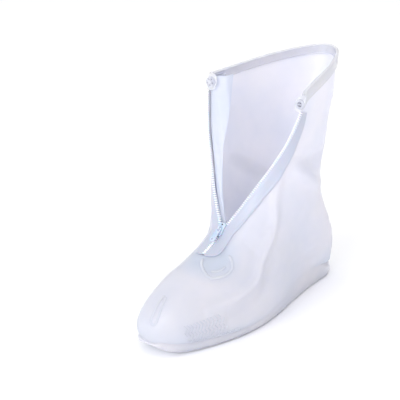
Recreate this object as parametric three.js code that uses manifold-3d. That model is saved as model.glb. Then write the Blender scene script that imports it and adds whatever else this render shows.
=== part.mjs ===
// Zip-up rain shoe cover, one of a pair, standing on its sole with the front unzipped.
// Millimetres, +Z up. The toe points along -Y, the outer (lateral) side is +X, and the origin
// lies on the floor under the middle of the sole.
import * as THREE from 'three';
import { mergeVertices } from 'three/addons/utils/BufferGeometryUtils.js';
import Module from 'manifold-3d';

const wasm = await Module();
wasm.setup();

// Driving sizes of the upper
const soleLength = 283;
const shaftHeight = 263;
const upperWidth = 96;
const wall = 1.4;
const gap = 0.4;
const foldDepth = 4;

// How far the unzipped front edges stand away from the closed front line at the rim
const lateralSpread = 63;
const medialSpread = 38;
const throatShare = 0.366;

// Outsole: its thickness, its width as a share of the upper's, and its two ends
const soleThickness = 3.5;
const soleInset = 0.85;
const soleToe = -0.492;
const soleHeel = 0.485;
const heelRound = 30;
const heelSquareness = 2.4;
const heelNarrowing = 0.9;

// Zip
const zipMargin = 5;
const zipTail = 34;
const chainEndGap = 1.9;
const tapeWidth = 12;
const tapeThickness = 0.9;
const toothPitch = 3.4;
const toothReach = 1.1;
const toothThickness = 2;
const chainWaist = 0.6;

// Slider: its upper plate, the keel inside, the post between them and the bridge that holds the pull
const sliderLength = 15;
const sliderWidth = 8.4;
const plateThickness = 1.4;
const plateCornerShare = 0.3;
const keelThickness = 1;
const keelLength = 8.25;
const keelWidth = 5.5;
const keelDrop = 1.8;
const postWidth = 1.76;
const postLength = 7.5;
const overlapDepth = 0.5;
const bridgeWidth = 1.6;
const bridgeThickness = 1.2;

// Pull
const pullLength = 17;
const pullWidth = 6;
const pullNeck = 4.8;
const pullThickness = 1.4;
const pullHole = 1;
const pullTilt = 9;

// Hem, its two closing tabs and the press snap on them
const hemHeight = 11;
const hemThickness = 1.2;
const tabReach = 10;
const tabHeight = 17;
const tabEndShare = 0.12;
const snapDiameter = 10;
const snapHeight = 2.4;
const snapInset = 6.2;

// Inner storm flap, whose lower end is a round tongue
const flapThickness = 1;
const flapGap = 0.95;
const flapReach = 27;
const flapTopDrop = 3.3;
const tongueRadius = 28;
const tongueLength = 58;
const tongueTip = 0.5;

// Fineness of the faceted surfaces
const ringCount = 36;
const halfColumns = 16;
const profileSteps = 48;
const soleRows = 28;
const soleColumns = 8;

// The rows of a table, with its column names as keys
function table(columns, rows) {
  return rows.map((row) => Object.fromEntries(columns.map((name, i) => [name, row[i]])));
}

// Sections from the toe to the rim. bottomY and topY are shares of soleLength, bottomZ and topZ of
// shaftHeight: the underside or back of the section, and its front. lateral, medial, shift and
// backShift are shares of upperWidth, the two shifts at the front and at the underside or back.
// belly is the height of the widest place within the section. The two powers set how square the
// section is above and below that place.
const sectionColumns = [
  'bottomY', 'bottomZ', 'topY', 'topZ', 'lateral', 'medial', 'shift', 'backShift', 'belly',
  'topPower', 'bottomPower',
];
const sections = table(sectionColumns, [
  [-0.500, 0.080, -0.500, 0.084, 0.012, 0.012, -0.040, -0.040, 0.50, 2.0, 2.0],
  [-0.497, 0.046, -0.496, 0.115, 0.112, 0.115, -0.040, -0.040, 0.45, 2.0, 2.2],
  [-0.481, 0.026, -0.477, 0.148, 0.200, 0.195, -0.035, -0.035, 0.42, 2.0, 2.6],
  [-0.447, 0.013, -0.442, 0.188, 0.290, 0.265, -0.023, -0.023, 0.40, 2.0, 3.2],
  [-0.383, 0.005, -0.383, 0.226, 0.380, 0.335, -0.012, -0.012, 0.38, 2.0, 3.8],
  [-0.299, 0.001, -0.304, 0.261, 0.465, 0.390, 0.005, 0.005, 0.36, 2.0, 4.2],
  [-0.203, 0.000, -0.233, 0.290, 0.535, 0.410, 0.025, 0.020, 0.36, 2.0, 4.4],
  [-0.097, 0.000, -0.165, 0.328, 0.568, 0.400, 0.037, 0.025, 0.38, 2.0, 4.4],
  [0.019, 0.000, -0.116, 0.380, 0.545, 0.385, 0.046, 0.020, 0.40, 2.0, 4.0],
  [0.157, 0.000, -0.072, 0.447, 0.485, 0.375, 0.047, 0.000, 0.42, 2.1, 3.6],
  [0.316, 0.000, -0.034, 0.523, 0.440, 0.380, 0.047, -0.025, 0.45, 2.1, 3.4],
  [0.463, 0.001, -0.007, 0.589, 0.425, 0.380, 0.052, -0.030, 0.47, 2.1, 3.2],
  [0.498, 0.028, 0.009, 0.647, 0.415, 0.370, 0.058, -0.020, 0.49, 2.1, 2.9],
  [0.484, 0.146, 0.018, 0.700, 0.400, 0.368, 0.063, -0.005, 0.50, 2.1, 2.6],
  [0.430, 0.322, 0.025, 0.750, 0.385, 0.370, 0.068, 0.020, 0.50, 2.1, 2.4],
  [0.405, 0.498, 0.030, 0.798, 0.375, 0.373, 0.075, 0.055, 0.50, 2.1, 2.2],
  [0.420, 0.674, 0.034, 0.844, 0.350, 0.373, 0.084, 0.100, 0.50, 2.1, 2.1],
  [0.455, 0.850, 0.038, 0.888, 0.315, 0.373, 0.094, 0.145, 0.50, 2.1, 2.1],
  [0.485, 1.000, 0.043, 0.930, 0.270, 0.373, 0.105, 0.175, 0.50, 2.1, 2.0],
]);

// How the two front edges open, from the throat (rise 0) to the rim (rise 1). across, along and up
// are shares of that side's spread, away from the middle, in +Y and in +Z.
const openingColumns = ['rise', 'across', 'along', 'up'];
const openings = {
  lateral: table(openingColumns, [
    [0.00, 0.00, 0.00, 0.00],
    [0.11, 0.13, 0.00, 0.00],
    [0.23, 0.27, 0.00, 0.00],
    [0.41, 0.49, 0.00, 0.00],
    [0.63, 0.75, -0.02, -0.01],
    [0.90, 0.97, -0.05, -0.05],
    [1.00, 1.00, -0.06, -0.09],
  ]),
  medial: table(openingColumns, [
    [0.00, 0.00, 0.00, 0.00],
    [0.045, 0.10, -0.02, 0.00],
    [0.11, 0.24, -0.12, 0.00],
    [0.23, 0.43, -0.30, 0.00],
    [0.41, 0.64, -0.50, 0.00],
    [0.63, 0.83, -0.62, 0.00],
    [0.90, 0.96, -0.67, 0.10],
    [1.00, 0.96, -0.68, 0.20],
  ]),
};

// Share of each half's girth, from the front, that the opening moves
const openingReach = { lateral: 1, medial: 0.8 };

// How far the storm flap stands past the medial edge, as a share of flapReach
const flapRows = table(['rise', 'reach'], [
  [0.00, 0.15],
  [0.12, 0.18],
  [0.35, 0.37],
  [0.55, 0.55],
  [0.75, 0.82],
  [1.00, 1.00],
]);

// Main folds and dents of the soft wall. place runs from the toe (0) to the rim (1), around from the
// front line (0) to the sole or back (1), and depth is a share of foldDepth, + outwards.
const foldColumns = ['side', 'place', 'around', 'placeSize', 'aroundSize', 'depth'];
const folds = table(foldColumns, [
  ['lateral', 0.79, 0.62, 0.045, 0.34, -1.00],
  ['medial', 0.79, 0.70, 0.045, 0.28, -0.90],
  ['lateral', 0.70, 0.80, 0.040, 0.22, 0.50],
  ['lateral', 0.33, 0.36, 0.130, 0.13, -0.55],
  ['medial', 0.36, 0.45, 0.120, 0.16, -0.60],
  ['lateral', 0.50, 0.42, 0.060, 0.16, 0.45],
]);

// Turned outlines of the two halves of the press snap: shares of its radius and of its height
const snapColumns = ['radius', 'height'];
const snapOutlines = {
  snap_stud: table(snapColumns, [
    [0, 0], [1, 0], [1, 0.5], [0.8, 0.5], [0.47, 0.45], [0.36, 0.7], [0.4, 0.85], [0.25, 1], [0, 1],
  ]),
  snap_socket: table(snapColumns, [
    [0, 0], [1, 0], [1, 0.45], [0.86, 0.8], [0.54, 0.8], [0.45, 0.35], [0, 0.35],
  ]),
};

const sides = { lateral: 1, medial: -1 };
const other = { lateral: 'medial', medial: 'lateral' };
const soleLift = soleThickness + gap;

function material(color, roughness, opacity = 1) {
  return new THREE.MeshStandardMaterial({
    color, roughness, opacity, transparent: opacity < 1,
  });
}

const milkyPvc = material(0xd6dcf2, 0.25, 0.8);
const solePvc = material(0xc3cbea, 0.4, 0.9);
const bluePvc = material(0xc4d6f8, 0.3, 0.85);
const toothPlastic = material(0xe8edfb, 0.3);
const sliderPlastic = material(0xe4ecfa, 0.2);
const snapPlastic = material(0xdde2f0, 0.25);

function clamp(value, low, high) {
  return Math.min(Math.max(value, low), high);
}

// Catmull-Rom through a table's rows at place 0 to 1
function rowAt(place) {
  const last = sections.length - 1;
  const x = clamp(place, 0, 1) * last;
  const i = Math.min(Math.floor(x), last - 1);
  const f = x - i;
  const rows = [-1, 0, 1, 2].map((k) => sections[clamp(i + k, 0, last)]);
  const row = {};
  for (const key of sectionColumns) {
    const [a, b, c, d] = rows.map((r) => r[key]);
    row[key] = 0.5 * (2 * b + (c - a) * f + (2 * a - 5 * b + 4 * c - d) * f * f
      + (3 * b - a - 3 * c + d) * f * f * f);
  }
  row.bottomZ = Math.max(row.bottomZ, 0);
  return row;
}

// A smooth curve through a table's rows, which need not be evenly spaced
function curve(rows, input, value, output) {
  const last = rows.length - 1;
  const x = clamp(value, rows[0][input], rows[last][input]);
  let i = 0;
  while (i < last - 1 && x > rows[i + 1][input]) i += 1;
  const slope = (k) => {
    const a = rows[clamp(k - 1, 0, last)];
    const b = rows[clamp(k + 1, 0, last)];
    return (b[output] - a[output]) / (b[input] - a[input]);
  };
  const width = rows[i + 1][input] - rows[i][input];
  const f = (x - rows[i][input]) / width;
  return rows[i][output] * (1 + 2 * f) * (1 - f) ** 2
    + rows[i + 1][output] * f * f * (3 - 2 * f)
    + width * (slope(i) * f * (1 - f) ** 2 - slope(i + 1) * f * f * (1 - f));
}

const heightOf = (share) => soleLift + share * (shaftHeight - soleLift);
const rimRow = sections[sections.length - 1];

// 0 at the throat of the open front and below it, 1 at the rim
function riseOf(topZ) {
  return clamp((topZ - throatShare) / (rimRow.topZ - throatShare), 0, 1);
}

function openingAt(side, topZ) {
  const spread = side === 'lateral' ? lateralSpread : medialSpread;
  const at = (key) => curve(openings[side], 'rise', riseOf(topZ), key) * spread;
  return new THREE.Vector3(sides[side] * at('across'), at('along'), at('up'));
}

// One half of a section, from the front line round to the sole or back, closed at the front
function closedHalf(row, side) {
  const top = new THREE.Vector3(0, row.topY * soleLength, heightOf(row.topZ));
  const bottom = new THREE.Vector3(0, row.bottomY * soleLength, heightOf(row.bottomZ));
  const up = top.clone().sub(bottom);
  const points = [];
  for (let k = 0; k <= profileSteps; k += 1) {
    const angle = (k / profileSteps) * Math.PI;
    const power = angle < Math.PI / 2 ? row.topPower : row.bottomPower;
    const out = Math.abs(Math.sin(angle)) ** (2 / power);
    const high = Math.abs(Math.cos(angle)) ** (2 / power);
    const above = row.belly + high * (1 - row.belly);
    const level = angle < Math.PI / 2 ? above : row.belly * (1 - high);
    const middle = row.backShift + level * (row.shift - row.backShift);
    const point = bottom.clone().addScaledVector(up, level);
    point.x = (sides[side] * out * row[side] + middle) * upperWidth;
    points.push(point);
  }
  return points;
}

function lengths(points) {
  const total = [0];
  for (let k = 1; k < points.length; k += 1) {
    total.push(total[k - 1] + points[k].distanceTo(points[k - 1]));
  }
  return total;
}

function pointAlong(points, total, distance) {
  let k = 1;
  while (k < points.length - 1 && total[k] < distance) k += 1;
  const f = (distance - total[k - 1]) / Math.max(total[k] - total[k - 1], 1e-9);
  return points[k - 1].clone().lerp(points[k], clamp(f, -1, 2));
}

// The line round one section that passes through a side's front edge: the side itself from distance
// 0 on, and before 0 what would close the front if this side's edge were carried on
const profiles = new Map();
function profileAt(side, place) {
  const key = `${side} ${place.toFixed(6)}`;
  if (!profiles.has(key)) {
    const row = rowAt(place);
    const bend = (half, along) => {
      const move = openingAt(half, row.topZ);
      const x = clamp(along / openingReach[half], 0, 1);
      return move.multiplyScalar((1 - x) ** 2);
    };
    const open = (half) => closedHalf(row, half)
      .map((p, k) => p.add(bend(half, k / profileSteps)));
    const own = open(side);
    const opposite = open(other[side]);
    const edgeMove = openingAt(side, row.topZ);
    const beyond = closedHalf(row, other[side]).map((p) => p.add(edgeMove));
    profiles.set(key, {
      own, ownTotal: lengths(own),
      beyond, beyondTotal: lengths(beyond),
      opposite, oppositeTotal: lengths(opposite),
    });
  }
  return profiles.get(key);
}

function girth(side, place) {
  const { ownTotal } = profileAt(side, place);
  return ownTotal[ownTotal.length - 1];
}

function smoothPoint(side, place, distance) {
  const profile = profileAt(side, place);
  if (distance < 0) return pointAlong(profile.beyond, profile.beyondTotal, -distance);
  const full = girth(side, place);
  if (distance <= full) return pointAlong(profile.own, profile.ownTotal, distance);
  const total = profile.oppositeTotal[profile.oppositeTotal.length - 1];
  return pointAlong(profile.opposite, profile.oppositeTotal, total - (distance - full));
}

function normalAt(side, place, distance) {
  const placeStep = 0.006;
  const aroundStep = 1.5;
  const low = Math.max(place - placeStep, 0);
  const high = Math.min(place + placeStep, 1);
  const full = girth(side, place);
  const share = distance / full;
  const round = (p) => (distance < 0 ? distance : share * girth(side, p));
  const at = (p, extra) => smoothPoint(side, p, round(p) + extra);
  const along = at(high, 0).sub(at(low, 0));
  const around = at(place, aroundStep).sub(at(place, -aroundStep));
  return along.cross(around).multiplyScalar(-sides[side]).normalize();
}

function relief(side, place, distance) {
  const bump = (half, share) => folds.filter((f) => f.side === half).reduce((sum, f) => {
    const a = (place - f.place) / f.placeSize;
    const b = (share - f.around) / f.aroundSize;
    return sum + f.depth * foldDepth * Math.exp(-a * a - b * b);
  }, 0);
  const share = distance / girth(side, place);
  return bump(side, share) + (share < 0 ? 0 : bump(other[side], 2 - share));
}

// A point of the wall, or lifted off it along the outward normal
function wallPoint(side, place, distance, lift) {
  const normal = normalAt(side, place, distance);
  return smoothPoint(side, place, distance)
    .addScaledVector(normal, lift + relief(side, place, distance));
}

// The direction in which a side's wall would go on past its front edge
function beyondTangent(side, place) {
  return smoothPoint(side, place, -1).sub(smoothPoint(side, place, 0)).normalize();
}

// Six times the volume inside the triangles: positive when their faces point out
function signedVolume(vertices, triangles) {
  const cross = new THREE.Vector3();
  return triangles.reduce((sum, [a, b, c]) => (
    sum + cross.crossVectors(vertices[a], vertices[b]).dot(vertices[c])), 0);
}

function bodyFrom(vertices, triangles) {
  const outward = signedVolume(vertices, triangles) > 0;
  const faces = outward ? triangles : triangles.map(([a, b, c]) => [a, c, b]);
  const geometry = new THREE.BufferGeometry();
  const positions = vertices.flatMap((v) => v.toArray());
  geometry.setAttribute('position', new THREE.Float32BufferAttribute(positions, 3));
  geometry.setIndex(faces.flat());
  return mergeVertices(geometry, 1e-4);
}

function named(name, geometry, look) {
  const mesh = new THREE.Mesh(geometry, look);
  mesh.name = name;
  geometry.computeVertexNormals();
  return mesh;
}

// A closed sheet between two grids of points with the same rows and columns, whose borders are joined
function sheet(outer, inner) {
  const rows = outer.length;
  const columns = outer[0].length;
  const vertices = [...outer.flat(), ...inner.flat()];
  const count = rows * columns;
  const triangles = [];
  const quad = (a, b, c, d) => triangles.push([a, b, c], [a, c, d]);
  const at = (i, j) => i * columns + j;
  for (let i = 0; i < rows - 1; i += 1) {
    for (let j = 0; j < columns - 1; j += 1) {
      quad(at(i, j), at(i, j + 1), at(i + 1, j + 1), at(i + 1, j));
      const inside = [at(i, j), at(i + 1, j), at(i + 1, j + 1), at(i, j + 1)];
      quad(...inside.map((k) => count + k));
    }
    quad(at(i, 0), at(i + 1, 0), count + at(i + 1, 0), count + at(i, 0));
    const last = columns - 1;
    quad(at(i, last), count + at(i, last), count + at(i + 1, last), at(i + 1, last));
  }
  for (let j = 0; j < columns - 1; j += 1) {
    quad(at(0, j), count + at(0, j), count + at(0, j + 1), at(0, j + 1));
    const end = rows - 1;
    quad(at(end, j), at(end, j + 1), count + at(end, j + 1), count + at(end, j));
  }
  return bodyFrom(vertices, triangles);
}

function placeOfTopShare(share) {
  let low = 0;
  let high = 1;
  for (let k = 0; k < 40; k += 1) {
    const middle = (low + high) / 2;
    if (rowAt(middle).topZ < share) low = middle;
    else high = middle;
  }
  return (low + high) / 2;
}

// The place a given run up (+) or down (-) the wall from another place. distanceAt gives how far
// round the wall the run is made, and it is along the front edge unless that is given.
function placeFrom(side, start, run, distanceAt = () => 0) {
  const step = 0.002 * Math.sign(run);
  let place = start;
  let left = Math.abs(run);
  let from = smoothPoint(side, place, distanceAt(place));
  while (left > 1e-6 && place + step > 0 && place + step < 1 + 1e-9) {
    const next = smoothPoint(side, place + step, distanceAt(place + step));
    const length = next.distanceTo(from);
    const part = Math.min(1, left / length);
    place += step * part;
    left -= length * part;
    from = next;
  }
  return place;
}

const throatPlace = placeOfTopShare(throatShare);
const tailPlace = placeFrom('lateral', throatPlace, -zipTail);

// Rings of the wall: evenly spaced, with one exactly at the end of the zip's slot
function ringPlaces() {
  const step = 1 / ringCount;
  const even = Array.from({ length: ringCount + 1 }, (_, i) => i * step);
  const kept = even.filter((p) => Math.abs(p - tailPlace) > step * 0.45);
  return [...kept, tailPlace].sort((a, b) => a - b);
}

// The wall's own rings between two places, with the two places themselves at the ends
function ringsBetween(start, end) {
  const near = 0.2 / ringCount;
  return [start, ...ringPlaces().filter((p) => p > start + near && p < end - near), end];
}

// The distance of a column of the wall from the front edge, beside the zip's slot
function columnDistance(side, place, column) {
  return zipMargin + (girth(side, place) - zipMargin) * (column / halfColumns);
}

// The one-piece upper: outer and inner surfaces joined round the rim and the zip's slot
function makeShell() {
  const places = ringPlaces();
  const first = places.findIndex((p) => p > tailPlace + 1e-6);
  const ringOf = (place, lift) => {
    const margin = place > tailPlace + 1e-6 ? zipMargin : 0;
    const half = (side) => Array.from({ length: halfColumns + 1 }, (_, j) => {
      const full = girth(side, place);
      return wallPoint(side, place, margin + (full - margin) * (j / halfColumns), lift);
    });
    return [...half('medial'), ...half('lateral').slice(0, -1).reverse()];
  };
  const columns = 2 * halfColumns + 1;
  const outer = places.map((p) => ringOf(p, 0));
  const inner = places.map((p) => ringOf(p, -wall));
  for (let i = 0; i < first; i += 1) {
    outer[i][columns - 1] = outer[i][0].clone();
    inner[i][columns - 1] = inner[i][0].clone();
  }
  const vertices = [...outer.flat(), ...inner.flat()];
  const count = places.length * columns;
  const triangles = [];
  const quad = (a, b, c, d) => triangles.push([a, b, c], [a, c, d]);
  const at = (i, j) => i * columns + j;
  for (let i = 0; i < places.length - 1; i += 1) {
    for (let j = 0; j < columns - 1; j += 1) {
      quad(at(i, j), at(i, j + 1), at(i + 1, j + 1), at(i + 1, j));
      const inside = [at(i, j), at(i + 1, j), at(i + 1, j + 1), at(i, j + 1)];
      quad(...inside.map((k) => count + k));
    }
    if (i >= first - 1) {
      const last = columns - 1;
      quad(at(i, 0), at(i + 1, 0), count + at(i + 1, 0), count + at(i, 0));
      quad(at(i, last), count + at(i, last), count + at(i + 1, last), at(i + 1, last));
    }
  }
  const end = places.length - 1;
  for (let j = 0; j < columns - 1; j += 1) {
    quad(at(end, j), at(end, j + 1), count + at(end, j + 1), count + at(end, j));
  }
  for (const [start, lift, turn] of [[0, 0, false], [count, wall, true]]) {
    const tip = new THREE.Vector3();
    for (let j = 0; j < columns - 1; j += 1) tip.add(vertices[start + j]);
    tip.divideScalar(columns - 1);
    const centre = vertices.push(tip) - 1;
    for (let j = 0; j < columns - 1; j += 1) {
      const pair = [start + j, start + j + 1];
      triangles.push(turn ? [centre, pair[0], pair[1]] : [centre, pair[1], pair[0]]);
    }
  }
  return named('shell', bodyFrom(vertices, triangles), milkyPvc);
}

// The place where the underside reaches a share of the sole's length, searched within two places
function placeOfSole(share, low, high) {
  for (let k = 0; k < 40; k += 1) {
    const middle = (low + high) / 2;
    if (rowAt(middle).bottomY < share) low = middle;
    else high = middle;
  }
  return (low + high) / 2;
}

function evenPlaces(start, end, steps) {
  return Array.from({ length: steps + 1 }, (_, i) => start + (end - start) * (i / steps));
}

// The outsole: a plate under the flat of the upper that turns up a little at the toe
function makeOutsole() {
  const start = placeOfSole(soleToe, 0, 0.5);
  const end = placeOfSole(soleHeel, 0.3, 0.66);
  const rows = evenPlaces(0, 1, soleRows).map((t) => {
    const share = soleToe + (soleHeel - soleToe) * (1 - Math.cos(t * Math.PI)) * 0.5;
    const row = rowAt(placeOfSole(share, start, end));
    const z = row.bottomY < 0 ? row.bottomZ * (shaftHeight - soleLift) : 0;
    return { ...row, y: row.bottomY * soleLength, z };
  });
  const heel = rows[soleRows].y;
  const surface = (thickness) => rows.map((row) => {
    const intoHeel = clamp(1 - (heel - row.y) / heelRound, 0, 1);
    const round = Math.sqrt(1 - heelNarrowing * intoHeel ** heelSquareness);
    return evenPlaces(-1, 1, soleColumns).map((share) => {
      const half = share > 0 ? row.lateral : row.medial;
      const x = (row.backShift + share * half * soleInset * round) * upperWidth;
      return new THREE.Vector3(x, row.y, row.z + thickness);
    });
  });
  return named('outsole', sheet(surface(soleThickness), surface(0)), solePvc);
}

// A strip along one front edge, between two distances from it, from one place to another
function edgeStrip(side, places, distances, lift, thickness) {
  const grid = (h) => places.map((p) => distances.map((d) => wallPoint(side, p, d, h)));
  return sheet(grid(lift + thickness), grid(lift));
}

const tapeLift = gap;
const zipTop = {};
for (const side of Object.keys(sides)) {
  zipTop[side] = placeFrom(side, 1, -(tabHeight + gap));
}

function makeTape(side) {
  const places = ringsBetween(placeFrom(side, tailPlace, gap), zipTop[side]);
  const near = 2 * toothReach + gap;
  const distances = [near, zipMargin, near + tapeWidth / 2, near + tapeWidth];
  const strip = edgeStrip(side, places, distances, tapeLift, tapeThickness);
  return named(`zip_tape_${side}`, strip, bluePvc);
}

// Where the outline of a row of teeth turns, as shares of the pitch, and how far it stands out there
const toothOutline = table(['along', 'out'], [
  [0.00, 0],
  [0.22, 1],
  [0.60, 1],
  [0.82, 0],
]);
const toothBase = tapeLift + (tapeThickness - toothThickness) / 2;

function toothRows(side, start, end) {
  const steps = Math.max(Math.round(edgeLength(side, start, end) / toothPitch), 2);
  const teeth = Array.from({ length: steps }, (_, i) => i);
  return teeth.flatMap((i) => toothOutline.map(({ along, out }) => (
    { place: start + (end - start) * ((i + along) / steps), out })));
}

// A row of teeth: one strip whose free edge steps in and out, once for each tooth
function makeTeeth(side) {
  const start = placeFrom(side, throatPlace, sliderLength / 2 + gap);
  const rows = toothRows(side, start, zipTop[side]);
  const root = 2 * toothReach;
  const grid = (lift) => rows.map(({ place, out }) => (
    [(1 - out) * toothReach, root].map((d) => wallPoint(side, place, d, lift))));
  const body = sheet(grid(toothBase + toothThickness), grid(toothBase));
  return named(`zip_teeth_${side}`, body, toothPlastic);
}

function edgeLength(side, start, end) {
  const points = evenPlaces(start, end, 60).map((p) => smoothPoint(side, p, 0));
  const total = lengths(points);
  return total[total.length - 1];
}

// The closed chain between the slider and the end of the slot
function makeChain() {
  const top = placeFrom('lateral', throatPlace, -(sliderLength / 2 + gap));
  const bottom = placeFrom('lateral', tailPlace, chainEndGap);
  const rows = toothRows('lateral', bottom, top);
  const grid = (lift) => rows.map(({ place, out }) => {
    const half = toothReach * (chainWaist + (1 - chainWaist) * out);
    return [-half, 0, half].map((d) => wallPoint('lateral', place, d, lift));
  });
  const body = sheet(grid(toothBase + toothThickness), grid(toothBase));
  return named('zip_chain', body, toothPlastic);
}

// The hem band round the outside of the rim, whose two ends reach past the zip as rounded tabs
function makeHem() {
  const tabSteps = [1, 0.86, 0.5, 0];
  const columns = evenPlaces(0, halfColumns, halfColumns);
  const tab = (side) => tabSteps.map((past) => ({ side, past }));
  const band = (side) => columns.map((column) => ({ side, column }));
  const all = [
    ...tab('medial'), ...band('medial'), ...band('lateral').slice(0, -1).reverse(),
    ...tab('lateral').reverse(),
  ];
  const point = ({ side, column, past = 0 }, drop, lift) => {
    const distanceAt = (place) => (column === undefined ? 0 : columnDistance(side, place, column));
    const place = placeFrom(side, 1, -drop, distanceAt);
    const base = wallPoint(side, place, distanceAt(place), lift);
    return base.addScaledVector(beyondTangent(side, place), past * tabReach);
  };
  const dropOf = ({ column, past }, level) => {
    if (column !== undefined) return level * hemHeight;
    const round = Math.sqrt(Math.max(1 - past ** 4, tabEndShare));
    return tabHeight * (0.5 + (level - 0.5) * round);
  };
  const levels = [0, 0.5, 1];
  const grid = (lift) => all.map((c) => levels.map((l) => point(c, dropOf(c, l), lift)));
  return named('hem_band', sheet(grid(gap + hemThickness), grid(gap)), bluePvc);
}

// The storm flap inside the zip: welded behind the medial edge, its free edge in the opening, and
// its lower end a round tongue behind the closed stretch
function makeFlap() {
  const bottom = placeFrom('medial', throatPlace, tongueTip - tongueLength);
  const top = placeFrom('medial', 1, -flapTopDrop);
  const places = ringsBetween(bottom, top);
  const reachAt = (place) => {
    const below = place < throatPlace ? edgeLength('medial', place, throatPlace) : 0;
    const into = Math.max(below - (tongueLength - tongueRadius), 0);
    const round = Math.sqrt(Math.max(tongueRadius ** 2 - into ** 2, 0));
    const open = flapReach * curve(flapRows, 'rise', riseOf(rowAt(place).topZ), 'reach');
    const blend = clamp(below / (tongueLength - tongueRadius), 0, 1);
    const free = open + (tongueRadius - open) * blend;
    return { welded: round, free: Math.min(free, round) };
  };
  const grid = (lift) => places.map((p) => {
    const reach = reachAt(p);
    const onWall = [3, 2, 1, 0].map((k) => Math.min(columnDistance('medial', p, k), reach.welded));
    const past = [0, -0.5, -1].map((share) => share * reach.free);
    return [...onWall, ...past].map((distance) => wallPoint('medial', p, distance, lift));
  });
  const outside = -(wall + flapGap);
  return named('storm_flap', sheet(grid(outside), grid(outside - flapThickness)), bluePvc);
}

function solidOf(geometry) {
  const plain = new THREE.BufferGeometry();
  plain.setAttribute('position', geometry.getAttribute('position').clone());
  if (geometry.index) plain.setIndex(geometry.index.clone());
  const merged = mergeVertices(plain, 1e-4);
  return new wasm.Manifold(new wasm.Mesh({
    numProp: 3,
    vertProperties: Float32Array.from(merged.getAttribute('position').array),
    triVerts: Uint32Array.from(merged.index.array),
  }));
}

function geometryOf(solid) {
  const mesh = solid.getMesh();
  const geometry = new THREE.BufferGeometry();
  geometry.setAttribute('position', new THREE.Float32BufferAttribute(mesh.vertProperties, 3));
  geometry.setIndex([...mesh.triVerts]);
  return geometry;
}

function extrude(shape, depth, curveSegments) {
  return new THREE.ExtrudeGeometry(shape, { depth, curveSegments, bevelEnabled: false });
}

// A rounded plate in the plane of the tapes, between two heights above the wall
function plate(width, length, low, high) {
  const corner = Math.min(width, length) * plateCornerShare;
  const shape = new THREE.Shape();
  const x = width / 2;
  const y = length / 2;
  shape.moveTo(-x + corner, -y);
  shape.lineTo(x - corner, -y);
  shape.absarc(x - corner, -y + corner, corner, -Math.PI / 2, 0);
  shape.absarc(x - corner, y - corner, corner, 0, Math.PI / 2);
  shape.absarc(-x + corner, y - corner, corner, Math.PI / 2, Math.PI);
  shape.absarc(-x + corner, -y + corner, corner, Math.PI, 1.5 * Math.PI);
  return extrude(shape, high - low, 4).translate(0, 0, low);
}

// Heights above the wall's outer face at the slider
const plateLow = tapeLift + tapeThickness + 1.5 * gap;
const plateHigh = plateLow + plateThickness;
const keelHigh = tapeLift - 2 * gap;
const barHalf = pullThickness / 2;
const bridgeInner = barHalf * Math.SQRT2 + gap;
const bridgeOuter = bridgeInner + bridgeThickness;
const axisHeight = plateHigh + bridgeInner;

// The frame of the slider: x across the zip, y up along it, z out of the wall
function sliderFrame() {
  const origin = smoothPoint('lateral', throatPlace, 0);
  const below = smoothPoint('lateral', placeFrom('lateral', throatPlace, -sliderLength / 2), 0);
  const above = closedHalf(rowAt(placeFrom('lateral', throatPlace, sliderLength / 2)), 'lateral')[0];
  const up = above.sub(below).normalize();
  const out = new THREE.Vector3(1, 0, 0).cross(up).normalize();
  const across = up.clone().cross(out);
  return new THREE.Matrix4().makeBasis(across, up, out).setPosition(origin);
}

function makeSlider() {
  const top = plate(sliderWidth, sliderLength, plateLow, plateHigh);
  const keel = plate(keelWidth, keelLength, keelHigh - keelThickness, keelHigh)
    .translate(0, -keelDrop, 0);
  const postFoot = keelHigh - overlapDepth;
  const post = plate(postWidth, postLength, postFoot, plateLow + overlapDepth);
  const arch = new THREE.Shape();
  arch.absarc(0, 0, bridgeOuter, 0, Math.PI);
  arch.lineTo(-bridgeOuter, -bridgeInner - overlapDepth);
  arch.lineTo(bridgeOuter, -bridgeInner - overlapDepth);
  const hole = new THREE.Path();
  hole.absarc(0, 0, bridgeInner, 0, Math.PI);
  hole.lineTo(-bridgeInner, -bridgeInner);
  hole.lineTo(bridgeInner, -bridgeInner);
  arch.holes.push(hole);
  const bridge = extrude(arch, bridgeWidth, 8).translate(0, 0, -bridgeWidth / 2);
  bridge.rotateX(Math.PI / 2).rotateZ(Math.PI / 2).translate(0, 0, axisHeight);
  const solid = [keel, post, bridge].reduce((sum, piece) => sum.add(solidOf(piece)), solidOf(top));
  return named('zip_slider', geometryOf(solid), sliderPlastic);
}

// The pull: a tapered tag whose window rides on the slider's bridge, so that it swings about +X
function makePull() {
  const shape = new THREE.Shape();
  const neck = pullNeck / 2;
  const end = pullWidth / 2;
  const tip = pullLength - barHalf - end;
  shape.moveTo(-neck, -barHalf);
  shape.lineTo(neck, -barHalf);
  shape.lineTo(end, tip);
  shape.absarc(0, tip, end, 0, Math.PI);
  const windowHalf = bridgeWidth / 2 + gap;
  const window = new THREE.Path();
  window.moveTo(-windowHalf, barHalf);
  window.lineTo(windowHalf, barHalf);
  window.lineTo(windowHalf, bridgeOuter + gap);
  window.lineTo(-windowHalf, bridgeOuter + gap);
  const eye = new THREE.Path();
  eye.absarc(0, tip, pullHole, 0, 2 * Math.PI);
  shape.holes.push(window, eye);
  const tag = extrude(shape, pullThickness, 8).translate(0, 0, -barHalf).rotateZ(Math.PI);
  return named('zip_pull', geometryOf(solidOf(tag)), sliderPlastic);
}

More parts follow.
